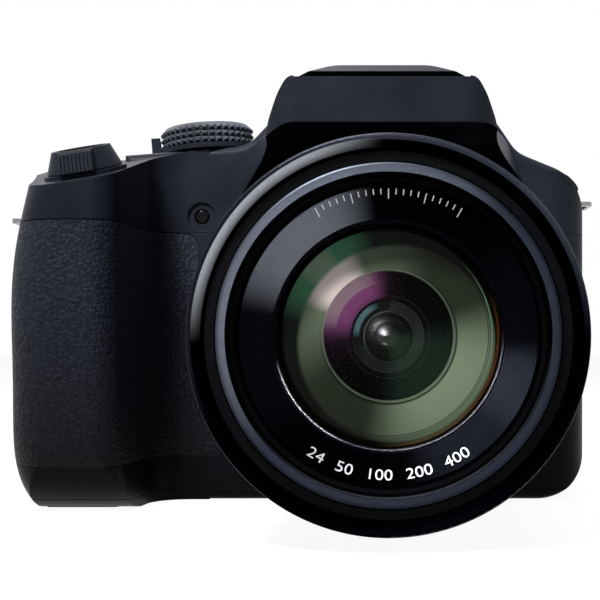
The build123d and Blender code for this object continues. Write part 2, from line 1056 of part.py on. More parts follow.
def door_face(plane, gap):
    """The battery door's outline, widened by gap."""
    with BuildSketch(plane, mode=Mode.PRIVATE) as face:
        with BuildLine():
            Polyline(*door_outline, close=True)
        make_face()
        if gap:
            offset(amount=gap, kind=Kind.INTERSECTION, mode=Mode.REPLACE)
    return face.sketch


base_screws = [(side * frame_foot_x, frame_foot_y) for side in (-1, 1)]
bottom_high = (body_right + overrun, body_rear + overrun, base_seam_height - seam / 2)
bottom_region = slab((-body_left - overrun, -grip_front - overrun, -overrun), bottom_high)
barrel_slot = slab(
    (-door_left - slack, door_hinge_y - door_barrel_radius - 2 * slack, -overrun),
    (-door_right + slack, door_hinge_y + door_barrel_radius + slack, case_wall + overrun),
)
with BuildPart() as bottom_cover:
    add(case)
    add(cavity, mode=Mode.SUBTRACT)
    add(bottom_region, mode=Mode.INTERSECT)
    extrude(door_face(Plane.XY.offset(-overrun), slack), amount=case_wall + 2 * overrun, mode=Mode.SUBTRACT)
    add(barrel_slot, mode=Mode.SUBTRACT)
    extrude(
        disc_face(door_end, door_pin_radius + running_fit, door_hinge_y, door_hinge_z),
        amount=door_width + door_pin_length + 2 * slack,
        mode=Mode.SUBTRACT,
    )
    extrude(
        disc_face(door_end, door_pin_radius + running_fit, door_hinge_y, door_hinge_z),
        amount=-door_pin_length - 2 * slack,
        mode=Mode.SUBTRACT,
    )
    extrude(disc_face(Plane.XY, socket_boss_radius + seam), amount=case_wall, mode=Mode.SUBTRACT)
    extrude(disc_face(lens_plane(0), lens_hole_radius), amount=body_front + overrun, mode=Mode.SUBTRACT)
    for across, back in base_screws:
        extrude(
            disc_face(Plane.XY, screw_head_radius + seam, across, back),
            amount=screw_head_height + seam,
            mode=Mode.SUBTRACT,
        )
        extrude(disc_face(Plane.XY, screw_radius + seam, across, back), amount=case_wall, mode=Mode.SUBTRACT)
finish(bottom_cover.part, "bottom_cover")

# Top cover: deck, shoulders and hump, open on top where the flash head lies
top_low = (-body_left - overrun, -fascia_front - overrun, deck_seam_height + seam / 2)
top_region = slab(top_low, (body_left, body_rear + overrun, overall_height + overrun))
cap_region = slab(
    (-body_left, -fascia_front - overrun, fascia_top),
    (body_left, -body_front + overrun + seam, overall_height + overrun),
)
hinge_plane = Plane.YZ.offset(-body_left)
ear_places = (-hump_centre - hinge_ear_x, -hump_centre + hinge_ear_x)
shoulder_turn = atan2(shoulder_foot_height - shoulder_height, body_right - shoulder_foot_x)
shoulder_drop = shoulder_radius * tan((pi / 2 - shoulder_turn) / 2)


def shoulder_plane(lift):
    """A plane on the right shoulder that faces out along the flash button's axis."""
    reach = shoulder_radius + lift
    turn = radians(flash_button_angle)
    origin = (
        body_right - shoulder_radius + reach * cos(turn),
        -flash_button_front,
        shoulder_height - shoulder_drop + reach * sin(turn),
    )
    return Plane(origin=origin, x_dir=(0, 1, 0), z_dir=(cos(turn), 0, sin(turn)))


def deck_x(left):
    """A place across the deck plane, from its distance to the left of the lens axis."""
    return (dial_x - left) / cos(radians(deck_tilt))


deep = 2 * case_wall
shelf_levels = (
    rear_dial_z - rear_dial_thickness / 2 - slack - rear_dial_shelf,
    rear_dial_z + rear_dial_thickness / 2 + slack,
)
lug_places = (
    (body_right - lug_root, body_right + lug_reach, lug_back, lug_z),
    (-body_left - lug_left_reach, -body_left + lug_root, -lug_left_front, lug_left_z),
)
with BuildPart() as lug_room:
    for inner, outer, back, height in lug_places:
        add(
            slab(
                (inner - seam, back - lug_depth / 2 - seam, height - lug_thickness / 2 - seam),
                (outer + seam, back + lug_depth / 2 + seam, height + lug_thickness / 2 + seam),
            )
        )
with BuildPart() as top_cover:
    add(case)
    add(cavity, mode=Mode.SUBTRACT)
    add(top_region, mode=Mode.INTERSECT)
    add(cap_region, mode=Mode.SUBTRACT)
    extrude(
        disc_face(hinge_plane, hinge_radius + slack, -hinge_y, hinge_height),
        amount=2 * body_left,
        mode=Mode.SUBTRACT,
    )
    extrude(disc_face(lever_plane(-overrun), plinth_radius), amount=plinth_height + overrun)
    extrude(
        disc_face(lever_plane(plinth_height), lever_stem_radius + running_fit),
        amount=-deep - plinth_height,
        mode=Mode.SUBTRACT,
    )
    extrude(
        disc_face(deck_plane(0), power_ring_radius + dial_pocket_gap),
        amount=dial_height + dial_lift,
        mode=Mode.SUBTRACT,
    )
    extrude(disc_face(deck_plane(0), dial_stem_radius + running_fit), amount=-deep, mode=Mode.SUBTRACT)
    for left in (film_button_x, burst_button_x):
        extrude(
            disc_face(deck_plane(overrun), top_button_radius + slack / 2, deck_x(left), top_button_y),
            amount=-deep,
            mode=Mode.SUBTRACT,
        )
    extrude(disc_face(lens_plane(0), lens_hole_radius), amount=body_front + overrun, mode=Mode.SUBTRACT)
    extrude(
        disc_face(Plane.XZ.offset(body_front - lamp_dish_depth), lamp_dish_radius, -lamp_x, lamp_z),
        amount=overrun,
        mode=Mode.SUBTRACT,
    )
    extrude(
        disc_face(Plane.XZ.offset(body_front + overrun), lamp_radius + seam, -lamp_x, lamp_z),
        amount=-deep,
        mode=Mode.SUBTRACT,
    )
    extrude(
        box_face(
            rear_plane(rear_wall - overrun),
            finder_tube_width + 2 * seam,
            finder_tube_height + 2 * seam,
            finder_x,
            finder_z,
        ),
        amount=deep,
        mode=Mode.SUBTRACT,
    )
    extrude(
        disc_face(rear_plane(rear_wall - overrun), diopter_stem_radius + running_fit, -diopter_x, finder_z),
        amount=deep,
        mode=Mode.SUBTRACT,
    )
    for name, left, height, radius in button_places:
        if height > deck_seam_height:
            extrude(
                disc_face(rear_plane(rear_wall - overrun), radius + slack / 2, left, height),
                amount=deep,
                mode=Mode.SUBTRACT,
            )
    for level in shelf_levels:
        extrude(
            box_face(
                Plane.XY.offset(level),
                4 * rear_dial_axle + 2 * rear_dial_shelf,
                2 * (body_rear - rear_dial_y - case_wall),
                -rear_dial_x,
                rear_dial_y + rear_dial_axle,
            ),
            amount=rear_dial_shelf,
        )
    extrude(
        disc_face(
            Plane.XY.offset(shelf_levels[0] - overrun),
            rear_dial_axle + running_fit,
            -rear_dial_x,
            rear_dial_y,
        ),
        amount=deep + rear_dial_thickness + 2 * rear_dial_shelf,
        mode=Mode.SUBTRACT,
    )
    extrude(
        disc_face(
            Plane.XY.offset(shelf_levels[0] + rear_dial_shelf),
            rear_dial_radius + slack,
            -rear_dial_x,
            rear_dial_y,
        ),
        amount=rear_dial_thickness + 2 * slack,
        mode=Mode.SUBTRACT,
    )
    extrude(
        disc_face(shoulder_plane(overrun), flash_button_radius + slack / 2),
        amount=-deep - overrun,
        mode=Mode.SUBTRACT,
    )
    add(lug_room.part, mode=Mode.SUBTRACT)
    for place in ear_places:
        ear_plane = Plane.YZ.offset(place - hinge_ear_width / 2)
        extrude(disc_face(ear_plane, hinge_ear_radius, -hinge_y, hinge_height), amount=hinge_ear_width)
        extrude(
            box_face(
                ear_plane,
                2 * hinge_ear_radius,
                hinge_height - pocket_floor,
                -hinge_y,
                (hinge_height + pocket_floor) / 2,
            ),
            amount=hinge_ear_width,
        )
    extrude(
        disc_face(hinge_plane, hinge_pin_radius + running_fit, -hinge_y, hinge_height),
        amount=2 * body_left,
        mode=Mode.SUBTRACT,
    )
finish(top_cover.part, "top_cover")

# Flash head: the cap that closes the hump, its hinge knuckle and pin, and the box that holds the lamp
head_front = -flash_box_front
head_middle = (flash_box_back + flash_box_front) / 2
slope_plane = Plane(
    origin=(-hump_centre, head_front + flash_window_height / 2, flash_box_foot + flash_window_height / 2),
    x_dir=(1, 0, 0),
    z_dir=(0, -1, -1),
)
cap_keep = slab(
    (-body_left, -fascia_front - overrun, fascia_top + seam),
    (body_left, -hinge_y, overall_height + overrun),
)
with BuildPart() as knuckle:
    add(case)
    extrude(
        disc_face(hinge_plane, hinge_radius, -hinge_y, hinge_height),
        amount=2 * body_left,
        mode=Mode.INTERSECT,
    )
with BuildPart() as flash_head:
    add(case)
    add(cavity, mode=Mode.SUBTRACT)
    add(cap_keep, mode=Mode.INTERSECT)
    add(knuckle.part)
    extrude(
        box_face(
            Plane.XY.offset(flash_box_foot),
            2 * flash_box_half_width,
            flash_box_front - flash_box_back,
            -hump_centre,
            -head_middle,
        ),
        amount=overall_height - cap_wall - flash_box_foot,
    )
    extrude(
        box_face(slope_plane, 3 * flash_box_half_width, 3 * flash_window_height),
        amount=2 * flash_window_height,
        mode=Mode.SUBTRACT,
    )
    extrude(
        box_face(
            slope_plane,
            flash_window_width - 2 * flash_window_thickness,
            flash_window_height - 2 * flash_window_thickness,
        ),
        amount=-flash_window_height / 2,
        mode=Mode.SUBTRACT,
    )
    for place in ear_places:
        slot_plane = Plane.YZ.offset(place - hinge_ear_width / 2 - slack)
        extrude(
            disc_face(slot_plane, hinge_ear_radius + slack, -hinge_y, hinge_height),
            amount=hinge_ear_width + 2 * slack,
            mode=Mode.SUBTRACT,
        )
        extrude(
            box_face(
                slot_plane,
                2 * hinge_radius,
                2 * hinge_radius + hinge_ear_radius / 2,
                -hinge_y + hinge_radius - hinge_ear_radius - slack,
                hinge_height - hinge_radius + hinge_ear_radius / 4,
            ),
            amount=hinge_ear_width + 2 * slack,
            mode=Mode.SUBTRACT,
        )
    extrude(
        disc_face(
            Plane.YZ.offset(ear_places[0] - hinge_ear_width), hinge_pin_radius, -hinge_y, hinge_height
        ),
        amount=2 * hinge_ear_x + 2 * hinge_ear_width,
    )
finish(flash_head.part, "flash_head")

with BuildPart() as flash_window:
    extrude(box_face(slope_plane, flash_window_width, flash_window_height), amount=flash_window_thickness)
finish(flash_window.part, "flash_window")

with BuildPart() as flash_release_button:
    shoulder_wall = case_wall + flash_button_flange
    add(
        push_button(
            shoulder_plane(0), flash_button_radius, flash_button_height, flash_button_flange, shoulder_wall
        )
    )
finish(flash_release_button.part, "flash_release_button")

# Lens: the fixed barrel on its plate, the trim ring and the seal that guides the first stage
with BuildPart() as fixed_barrel:
    revolve(
        lens_face(
            (barrel_bore, barrel_flange_back),
            (barrel_flange_radius, barrel_flange_back),
            (barrel_flange_radius, inner_face),
            (barrel_radius, inner_face),
            (barrel_radius, barrel_front),
            (barrel_bore, barrel_front),
        ),
        axis=lens_axis,
    )
    split(bisect_by=Plane.XY.offset(case_wall + seam), keep=Keep.TOP)
finish(fixed_barrel.part, "fixed_barrel")

seal_back = barrel_front + seam / 2
seal_pocket = seal_back + seal_length + seam / 2
with BuildPart() as barrel_trim_ring:
    revolve(
        lens_face(
            (barrel_radius + seam / 2, trim_back),
            (trim_radius, trim_back),
            (trim_radius, trim_front),
            (trim_chamfer_radius, trim_front),
            (trim_lip_radius, trim_front - trim_chamfer_depth),
            (trim_lip_radius, seal_pocket),
            (seal_radius + seam / 2, seal_pocket),
            (seal_radius + seam / 2, seal_back),
            (barrel_radius + seam / 2, seal_back),
            rounds=(0, 0, trim_edge_round, 0, 0, 0, 0, 0, 0),
        ),
        axis=lens_axis,
    )
finish(barrel_trim_ring.part, "barrel_trim_ring")

with BuildPart() as barrel_seal:
    revolve(
        tube_face(stage1_radius + running_fit, seal_radius, seal_back, seal_back + seal_length),
        axis=lens_axis,
    )
finish(barrel_seal.part, "barrel_seal")

# First zoom stage, the cam barrel inside it and the second stage
stage1_bore = stage1_radius - stage1_wall
stage1_flange = barrel_bore - running_fit
stage2_bore_back = stage2_radius - stage2_wall
with BuildPart() as zoom_stage_1:
    revolve(
        lens_face(
            (stage1_bore, stage1_foot),
            (stage1_flange, stage1_foot),
            (stage1_flange, stage1_foot + stage_flange_length),
            (stage1_radius, stage1_foot + stage_flange_length),
            (stage1_radius, stage1_front),
            (stage2_radius + running_fit, stage1_front),
            (stage2_radius + running_fit, stage1_front - stage1_lip_length),
            (stage1_bore, stage1_front - stage1_lip_length),
        ),
        axis=lens_axis,
    )
finish(zoom_stage_1.part, "zoom_stage_1")

cam_bore = cam_radius - cam_wall
cam_flange = stage1_bore - running_fit
with BuildPart() as cam_barrel:
    revolve(
        lens_face(
            (cam_bore, cam_foot),
            (cam_flange, cam_foot),
            (cam_flange, cam_foot + cam_flange_length),
            (cam_radius, cam_foot + cam_flange_length),
            (cam_radius, cam_front),
            (cam_bore, cam_front),
        ),
        axis=lens_axis,
    )
    for number in range(cam_slot_count):
        turn = 2 * pi * number / cam_slot_count + pi / 2
        outward = (cos(turn), 0, sin(turn))
        reach = cam_radius + overrun
        slot_place = Plane(
            origin=(reach * cos(turn), -cam_slot_middle, lens_height + reach * sin(turn)),
            x_dir=(0, -1, 0),
            z_dir=outward,
        )
        with BuildSketch(slot_place):
            SlotCenterToCenter(cam_slot_length, cam_slot_width, rotation=cam_slot_slant)
        extrude(amount=-3 * overrun - 2 * cam_wall, mode=Mode.SUBTRACT)
finish(cam_barrel.part, "cam_barrel")

stage2_flange = stage1_bore - running_fit
with BuildPart() as zoom_stage_2:
    revolve(
        lens_face(
            (stage2_bore_back, stage2_foot),
            (stage2_flange, stage2_foot),
            (stage2_flange, stage2_foot + stage_flange_length),
            (stage2_radius, stage2_foot + stage_flange_length),
            (stage2_radius, stage2_head_back),
            (stage2_head_radius, stage2_head_back),
            (stage2_head_radius, stage2_head_front),
            (stage2_lip_radius, stage2_head_front),
            (stage2_thread_radius, stage2_lip_back),
            (stage2_thread_radius, stage2_thread_back),
            (stage2_relief_radius, stage2_thread_back),
            (stage2_relief_radius, stage2_thread_back - stage2_relief_length),
            (stage2_bore, stage2_thread_back - stage2_relief_length),
            (stage2_bore, front_cell_floor),
            (front_cell_radius, front_cell_floor),
            (front_cell_radius, front_cell_front),
            (front_glass_radius + seam, front_cell_front),
            (front_glass_radius + seam, front_glass_back),
            (front_cell_bore, front_glass_back),
            (front_cell_bore, front_cell_back),
            (stage2_bore_back, front_cell_back),
            rounds=(*[0] * 6, stage2_head_round, *[0] * 14),
        ),
        axis=lens_axis,
    )
finish(zoom_stage_2.part, "zoom_stage_2")

with BuildPart() as dress_ring:
    revolve(
        lens_face(
            (dress_outer_radius, dress_front),
            (dress_inner_radius, dress_back),
            (dress_inner_radius, dress_back - dress_thickness),
            (dress_outer_radius, dress_front - dress_thickness),
        ),
        axis=lens_axis,
    )
finish(dress_ring.part, "dress_ring")

with BuildPart() as retaining_ring:
    revolve(tube_face(retainer_bore, retainer_radius, retainer_back, retainer_front), axis=lens_axis)
finish(retaining_ring.part, "retaining_ring")

with BuildPart() as front_element:
    revolve(
        glass_face(
            front_glass_radius, front_glass_back, front_glass_hollow, front_glass_edge, front_glass_crown
        ),
        axis=lens_axis,
    )
finish(front_element.part, "front_element")

# Inner groups on the guide rods
with BuildPart() as lens_mount_plate:
    revolve(
        tube_face(mount_plate_bore, mount_plate_radius, mount_plate_back, mount_plate_front),
        axis=lens_axis,
    )
    split(bisect_by=Plane.XY.offset(mount_plate_flat), keep=Keep.TOP)
    for side in (-rod_circle, rod_circle):
        extrude(
            disc_face(lens_plane(mount_plate_back), rod_radius + seam / 2, side),
            amount=mount_plate_front - mount_plate_back,
            mode=Mode.SUBTRACT,
        )
    with BuildSketch(lens_plane(mount_plate_back)):
        with PolarLocations(mount_post_circle, mount_post_count, start_angle=180 / mount_post_count):
            Circle(mount_post_radius)
    extrude(amount=-mount_plate_back - frame_front + seam)
finish(lens_mount_plate.part, "lens_mount_plate")

with BuildPart() as guide_rods:
    for side in (-rod_circle, rod_circle):
        extrude(disc_face(lens_plane(rod_back), rod_radius, side), amount=rod_front - rod_back)
finish(guide_rods.part, "guide_rods")

with BuildPart() as variator_carriage:
    add(carriage(variator_radius, variator_glass_radius, variator_back, variator_glass_back, variator_front))
finish(variator_carriage.part, "variator_carriage")

with BuildPart() as variator_glass:
    revolve(
        glass_face(
            variator_glass_radius,
            variator_glass_back,
            variator_glass_hollow,
            variator_glass_edge,
            variator_glass_crown,
        ),
        axis=lens_axis,
    )
finish(variator_glass.part, "variator_glass")

with BuildPart() as iris_housing:
    add(carriage(iris_radius, relay_glass_radius, iris_back, relay_glass_back, iris_front))
    revolve(tube_face(iris_radius - iris_shell, iris_radius, iris_back, iris_front), axis=lens_axis)
    extrude(disc_face(lens_plane(iris_front), iris_radius), amount=iris_plate)
    with BuildSketch(lens_plane(iris_front)):
        RegularPolygon(iris_hole, iris_blades)
    extrude(amount=iris_plate, mode=Mode.SUBTRACT)
finish(iris_housing.part, "iris_housing")

with BuildPart() as relay_glass:
    revolve(
        glass_face(
            relay_glass_radius, relay_glass_back, relay_glass_hollow, relay_glass_edge, relay_glass_crown
        ),
        axis=lens_axis,
    )
finish(relay_glass.part, "relay_glass")

with BuildPart() as focus_group:
    add(carriage(focus_radius, focus_glass_radius - seam, focus_back, focus_glass_back, focus_front))
    revolve(
        glass_face(
            focus_glass_radius, focus_glass_back, focus_glass_hollow, focus_glass_edge, focus_glass_crown
        ),
        axis=lens_axis,
    )
finish(focus_group.part, "focus_group")

with BuildPart() as zoom_motor:
    motor_plane = Plane.XZ.offset(-motor_back)
    extrude(disc_face(motor_plane, motor_radius, motor_x, motor_z), amount=motor_length)
    extrude(
        box_face(motor_plane, 2 * motor_radius, 2 * motor_flat, motor_x, motor_z),
        amount=motor_length,
        mode=Mode.INTERSECT,
    )
    extrude(
        disc_face(motor_plane.offset(motor_length), motor_boss_radius, motor_x, motor_z),
        amount=motor_boss_length,
    )
finish(zoom_motor.part, "zoom_motor")

# Image sensor, inner frame and main board
with BuildPart() as sensor_block:
    sensor_back = sensor_package_thickness + sensor_board_thickness - sensor_front
    extrude(
        box_face(rear_plane(-sensor_front), sensor_package_width, sensor_package_height, 0, lens_height),
        amount=sensor_package_thickness,
    )
    extrude(
        box_face(rear_plane(sensor_back), sensor_board_width, sensor_board_height, 0, lens_height),
        amount=-sensor_board_thickness,
    )
    extrude(
        box_face(rear_plane(sensor_back), heat_plate_width, heat_plate_height, 0, lens_height),
        amount=frame_front - frame_gap - sensor_back,
    )
finish(sensor_block.part, "sensor_block")

board_places = [
    (across, height)
    for across in (-board_left + post_inset, board_right - post_inset)
    for height in (board_foot + post_inset, board_top - post_inset)
]
with BuildPart() as inner_frame:
    add(trunk_block(case_wall + frame_gap))
    add(
        slab((-frame_left, frame_front, 0), (body_right, frame_front + frame_thickness, frame_top)),
        mode=Mode.INTERSECT,
    )
    extrude(
        box_face(rear_plane(frame_front), frame_window_width, frame_window_height, 0, lens_height),
        amount=frame_thickness,
        mode=Mode.SUBTRACT,
    )
    extrude(
        box_face(rear_plane(frame_front), frame_notch_width, 2 * mount_plate_flat),
        amount=frame_thickness,
        mode=Mode.SUBTRACT,
    )
    for across, height in board_places:
        extrude(
            disc_face(rear_plane(frame_front), post_radius, -across, height),
            amount=board_front - frame_front,
        )
        extrude(
            disc_face(rear_plane(frame_front), screw_radius, -across, height),
            amount=board_front - frame_front,
            mode=Mode.SUBTRACT,
        )
    for across, back in base_screws:
        foot_face = box_face(
            Plane.XY.offset(case_wall + frame_gap),
            frame_foot_width,
            2 * (back - frame_front),
            across,
            back,
        )
        extrude(foot_face, amount=frame_foot_height)
        extrude(
            disc_face(Plane.XY.offset(case_wall), screw_radius, across, back),
            amount=frame_gap + frame_foot_height,
            mode=Mode.SUBTRACT,
        )
finish(inner_frame.part, "inner_frame")

board_back = board_front + board_thickness
with BuildPart() as main_board:
    add(slab((-board_left, board_front, board_foot), (board_right, board_back, board_top)))
    for side in (-chip_pitch / 2, chip_pitch / 2):
        extrude(
            box_face(rear_plane(board_back), chip_side, chip_side, side, lens_height), amount=chip_thickness
        )
    for number in range(socket_count):
        middle = port_middle + (number - (socket_count - 1) / 2) * socket_pitch
        extrude(
            box_face(Plane.YZ.offset(socket_back), socket_height, socket_width, board_back, middle),
            amount=socket_mouth - socket_back,
        )
    for across, height in board_places:
        extrude(
            disc_face(rear_plane(board_front), screw_radius + seam, -across, height),
            amount=board_thickness,
            mode=Mode.SUBTRACT,
        )
finish(main_board.part, "main_board")

# Monitor module and its window
with BuildPart() as lcd_panel:
    extrude(
        box_face(
            rear_plane(rear_wall - seam - monitor_thickness),
            monitor_width,
            monitor_height,
            -monitor_x,
            monitor_z,
        ),
        amount=monitor_thickness,
    )
finish(lcd_panel.part, "lcd_panel")

with BuildPart() as lcd_window:
    extrude(
        box_face(
            rear_plane(body_rear - monitor_window_thickness),
            monitor_window_width,
            monitor_window_height,
            -monitor_x,
            monitor_z,
            monitor_window_corner,
        ),
        amount=monitor_window_thickness,
    )
finish(lcd_window.part, "lcd_window")

# Viewfinder: tube with its display inside, eyepiece lens, eyecup and dioptre wheel
with BuildPart() as viewfinder_tube:
    tube_length = finder_tube_front + finder_tube_back
    extrude(
        box_face(rear_plane(-finder_tube_front), finder_tube_width, finder_tube_height, finder_x, finder_z),
        amount=tube_length,
    )
    extrude(
        box_face(
            rear_plane(-finder_tube_front + 2 * finder_tube_wall),
            finder_tube_width - 2 * finder_tube_wall,
            finder_tube_height - 2 * finder_tube_wall,
            finder_x,
            finder_z,
        ),
        amount=tube_length,
        mode=Mode.SUBTRACT,
    )
    extrude(
        box_face(
            rear_plane(finder_glass_back - finder_cell_length),
            finder_tube_width - 2 * finder_tube_wall,
            finder_tube_height - 2 * finder_tube_wall,
            finder_x,
            finder_z,
        ),
        amount=finder_cell_length,
    )
    extrude(
        disc_face(
            rear_plane(finder_glass_back - finder_cell_length),
            finder_glass_radius - 2 * seam,
            finder_x,
            finder_z,
        ),
        amount=finder_cell_length,
        mode=Mode.SUBTRACT,
    )
    extrude(
        disc_face(
            rear_plane(finder_glass_back - finder_glass_edge - 2 * seam),
            finder_glass_radius + seam / 2,
            finder_x,
            finder_z,
        ),
        amount=finder_glass_edge + 2 * seam + finder_glass_bulge,
        mode=Mode.SUBTRACT,
    )
finish(viewfinder_tube.part, "viewfinder_tube")

finder_axis = Axis((-finder_x, 0, finder_z), (0, 1, 0))
finder_section = Plane(origin=(-finder_x, 0, finder_z), x_dir=(1, 0, 0), z_dir=(0, 0, 1))
with BuildPart() as eyepiece_lens:
    with BuildSketch(finder_section):
        with BuildLine():
            glass_front = finder_glass_back - finder_glass_edge
            half = finder_glass_radius / 2
            sag = finder_glass_bulge - cap_sag(finder_glass_radius, finder_glass_bulge)
            ThreePointArc(
                (finder_glass_radius, glass_front),
                (half, glass_front - sag),
                (0, glass_front - finder_glass_bulge),
            )
            ThreePointArc(
                (finder_glass_radius, finder_glass_back),
                (half, finder_glass_back + sag),
                (0, finder_glass_back + finder_glass_bulge),
            )
            Line((finder_glass_radius, glass_front), (finder_glass_radius, finder_glass_back))
            Line((0, glass_front - finder_glass_bulge), (0, finder_glass_back + finder_glass_bulge))
        make_face()
    revolve(axis=finder_axis)
finish(eyepiece_lens.part, "eyepiece_lens")

with BuildPart() as eyecup:
    eyecup_length = eyecup_back - body_rear
    for back, flare in ((body_rear, eyecup_flare), (eyecup_back, 0)):
        with BuildSketch(rear_plane(back)):
            with Locations((finder_x, finder_z)):
                RectangleRounded(eyecup_width - flare, eyecup_height - flare, eyecup_corner)
    loft()
    fillet(eyecup.faces().sort_by(Axis.Y)[-1].edges(), eyecup_flare)
    extrude(
        box_face(
            rear_plane(body_rear),
            eyecup_hole_width,
            eyecup_hole_height,
            finder_x,
            finder_z,
            eyecup_flare,
        ),
        amount=eyecup_length,
        mode=Mode.SUBTRACT,
    )
finish(eyecup.part, "eyecup")

with BuildPart() as diopter_dial:
    dial_face_plane = rear_plane(body_rear + slack)
    extrude(disc_face(dial_face_plane, diopter_radius, -diopter_x, finder_z), amount=diopter_thickness)
    extrude(
        teeth_face(
            Plane(origin=(diopter_x, body_rear + slack, finder_z), x_dir=(-1, 0, 0), z_dir=(0, 1, 0)),
            diopter_radius,
            diopter_groove,
            diopter_teeth,
        ),
        amount=diopter_thickness,
        mode=Mode.SUBTRACT,
    )
    extrude(
        disc_face(dial_face_plane, diopter_stem_radius, -diopter_x, finder_z), amount=-case_wall - 2 * slack
    )
    extrude(
        disc_face(rear_plane(rear_wall - slack), diopter_stem_radius + slack, -diopter_x, finder_z),
        amount=-diopter_thickness / 2,
    )
finish(diopter_dial.part, "diopter_dial")

# Hot shoe
with BuildPart() as hot_shoe:
    shoe_middle = rear_hump_top + shoe_height / 2
    channel_height = shoe_height - shoe_base - shoe_lip
    shoe_plane = Plane.XZ.offset(shoe_front)
    extrude(
        box_face(shoe_plane, shoe_width, shoe_height, -finder_x, shoe_middle), amount=-shoe_front - shoe_back
    )
    fillet(hot_shoe.edges().filter_by(Axis.Z), shoe_lip)
    extrude(
        box_face(
            shoe_plane,
            shoe_channel,
            channel_height,
            -finder_x,
            rear_hump_top + shoe_base + channel_height / 2,
        ),
        amount=-shoe_front - shoe_back + shoe_lip,
        mode=Mode.SUBTRACT,
    )
    extrude(
        box_face(shoe_plane, shoe_mouth, 2 * shoe_lip, -finder_x, rear_hump_top + shoe_height),
        amount=-shoe_front - shoe_back,
        mode=Mode.SUBTRACT,
    )
finish(hot_shoe.part, "hot_shoe")

# Focus-assist lamp, strap lugs, tripod socket
with BuildPart() as af_lamp_lens:
    lamp_plane = Plane.XZ.offset(body_front - lamp_dish_depth)
    extrude(disc_face(lamp_plane, lamp_radius, -lamp_x, lamp_z), amount=-lamp_length)
    fillet(af_lamp_lens.faces().sort_by(Axis.Y)[0].edges(), lamp_round)
    extrude(
        disc_face(Plane.XZ.offset(inner_face - seam), lamp_dish_radius, -lamp_x, lamp_z),
        amount=-lamp_dish_depth,
    )
finish(af_lamp_lens.part, "af_lamp_lens")

with BuildPart() as strap_lugs:
    for inner, outer, back, height in lug_places:
        add(
            slab(
                (inner, back - lug_depth / 2, height - lug_thickness / 2),
                (outer, back + lug_depth / 2, height + lug_thickness / 2),
            )
        )
    fillet(strap_lugs.edges().filter_by(Axis.Z), lug_slot_width)
    for inner, outer, back, height in lug_places:
        tip = outer - lug_slot_width if inner > 0 else inner + lug_slot_width
        with BuildSketch(Plane.XY.offset(height - lug_thickness / 2)):
            with Locations((tip, back)):
                SlotOverall(lug_slot_length, lug_slot_width, rotation=90)
        extrude(amount=lug_thickness, mode=Mode.SUBTRACT)
finish(strap_lugs.part, "strap_lugs")

with BuildPart() as tripod_socket:
    extrude(disc_face(Plane.XY, socket_boss_radius), amount=socket_thread_depth + socket_flange_height)
    extrude(
        disc_face(Plane.XY.offset(case_wall + seam / 2), socket_flange_radius), amount=socket_flange_height
    )
    extrude(disc_face(Plane.XY, socket_thread_radius), amount=socket_thread_depth, mode=Mode.SUBTRACT)
finish(tripod_socket.part, "tripod_socket")

# Battery, card, their holder, and the flash capacitor
battery_low = (-battery_left, -battery_front, battery_foot)
battery_high = (-battery_left + battery_width, -battery_front + battery_depth, battery_foot + battery_height)
card_y = battery_high[1] + 2 * holder_gap + holder_wall
card_low = (-card_left, card_y, battery_foot)
card_high = (-card_left + card_width, card_y + card_thickness, battery_foot + card_height)


def around(low, high, gap, top):
    """A block round another one's corners, widened by gap, from the holder's foot up to top."""
    return slab((low[0] - gap, low[1] - gap, battery_foot + holder_lift), (high[0] + gap, high[1] + gap, top))


with BuildPart() as battery:
    add(slab(battery_low, battery_high))
    fillet(battery.edges().filter_by(Axis.Z), battery_corner)
finish(battery.part, "battery")

with BuildPart() as memory_card:
    add(slab(card_low, card_high))
    chamfer(memory_card.edges().filter_by(Axis.Y).group_by(Axis.Z)[-1].sort_by(Axis.X)[0], card_thickness)
finish(memory_card.part, "memory_card")

shell_gap = holder_gap + holder_wall
with BuildPart() as battery_holder:
    add(around(battery_low, battery_high, shell_gap, battery_high[2] + shell_gap))
    add(around(card_low, card_high, shell_gap, card_high[2] + shell_gap))
    add(around(battery_low, battery_high, holder_gap, battery_high[2] + holder_gap), mode=Mode.SUBTRACT)
    add(around(card_low, card_high, holder_gap, card_high[2] + holder_gap), mode=Mode.SUBTRACT)
finish(battery_holder.part, "battery_holder")

with BuildPart() as flash_capacitor:
    extrude(
        disc_face(Plane.XY.offset(case_wall + seam), capacitor_radius, -capacitor_x, -capacitor_front),
        amount=capacitor_height,
    )
    fillet(flash_capacitor.edges(), capacitor_round)
finish(flash_capacitor.part, "flash_capacitor")

# Battery door with its hinge barrel, and the latch in it
latch_y = latch_travel + slack - latch_front
with BuildPart() as battery_door:
    extrude(door_face(Plane.XY.offset(door_lift), 0), amount=door_thickness)
    fillet(battery_door.edges().filter_by(Axis.Z), door_corner)
    extrude(disc_face(door_end, door_barrel_radius, door_hinge_y, door_hinge_z), amount=door_width)
    add(
        slab(
            (-door_left + overrun, door_back - overrun, door_lift),
            (-door_right - overrun, door_hinge_y, door_lift + door_barrel_radius),
        )
    )
    extrude(
        disc_face(Plane.YZ.offset(-door_left - door_pin_length), door_pin_radius, door_hinge_y, door_hinge_z),
        amount=door_width + 2 * door_pin_length,
    )
    extrude(
        box_face(
            Plane.XY,
            latch_width + 2 * slack,
            latch_length + latch_travel + 2 * slack,
            -latch_x,
            latch_y + (latch_length - latch_travel) / 2,
        ),
        amount=door_lift + latch_height + seam,
        mode=Mode.SUBTRACT,
    )
finish(battery_door.part, "battery_door")

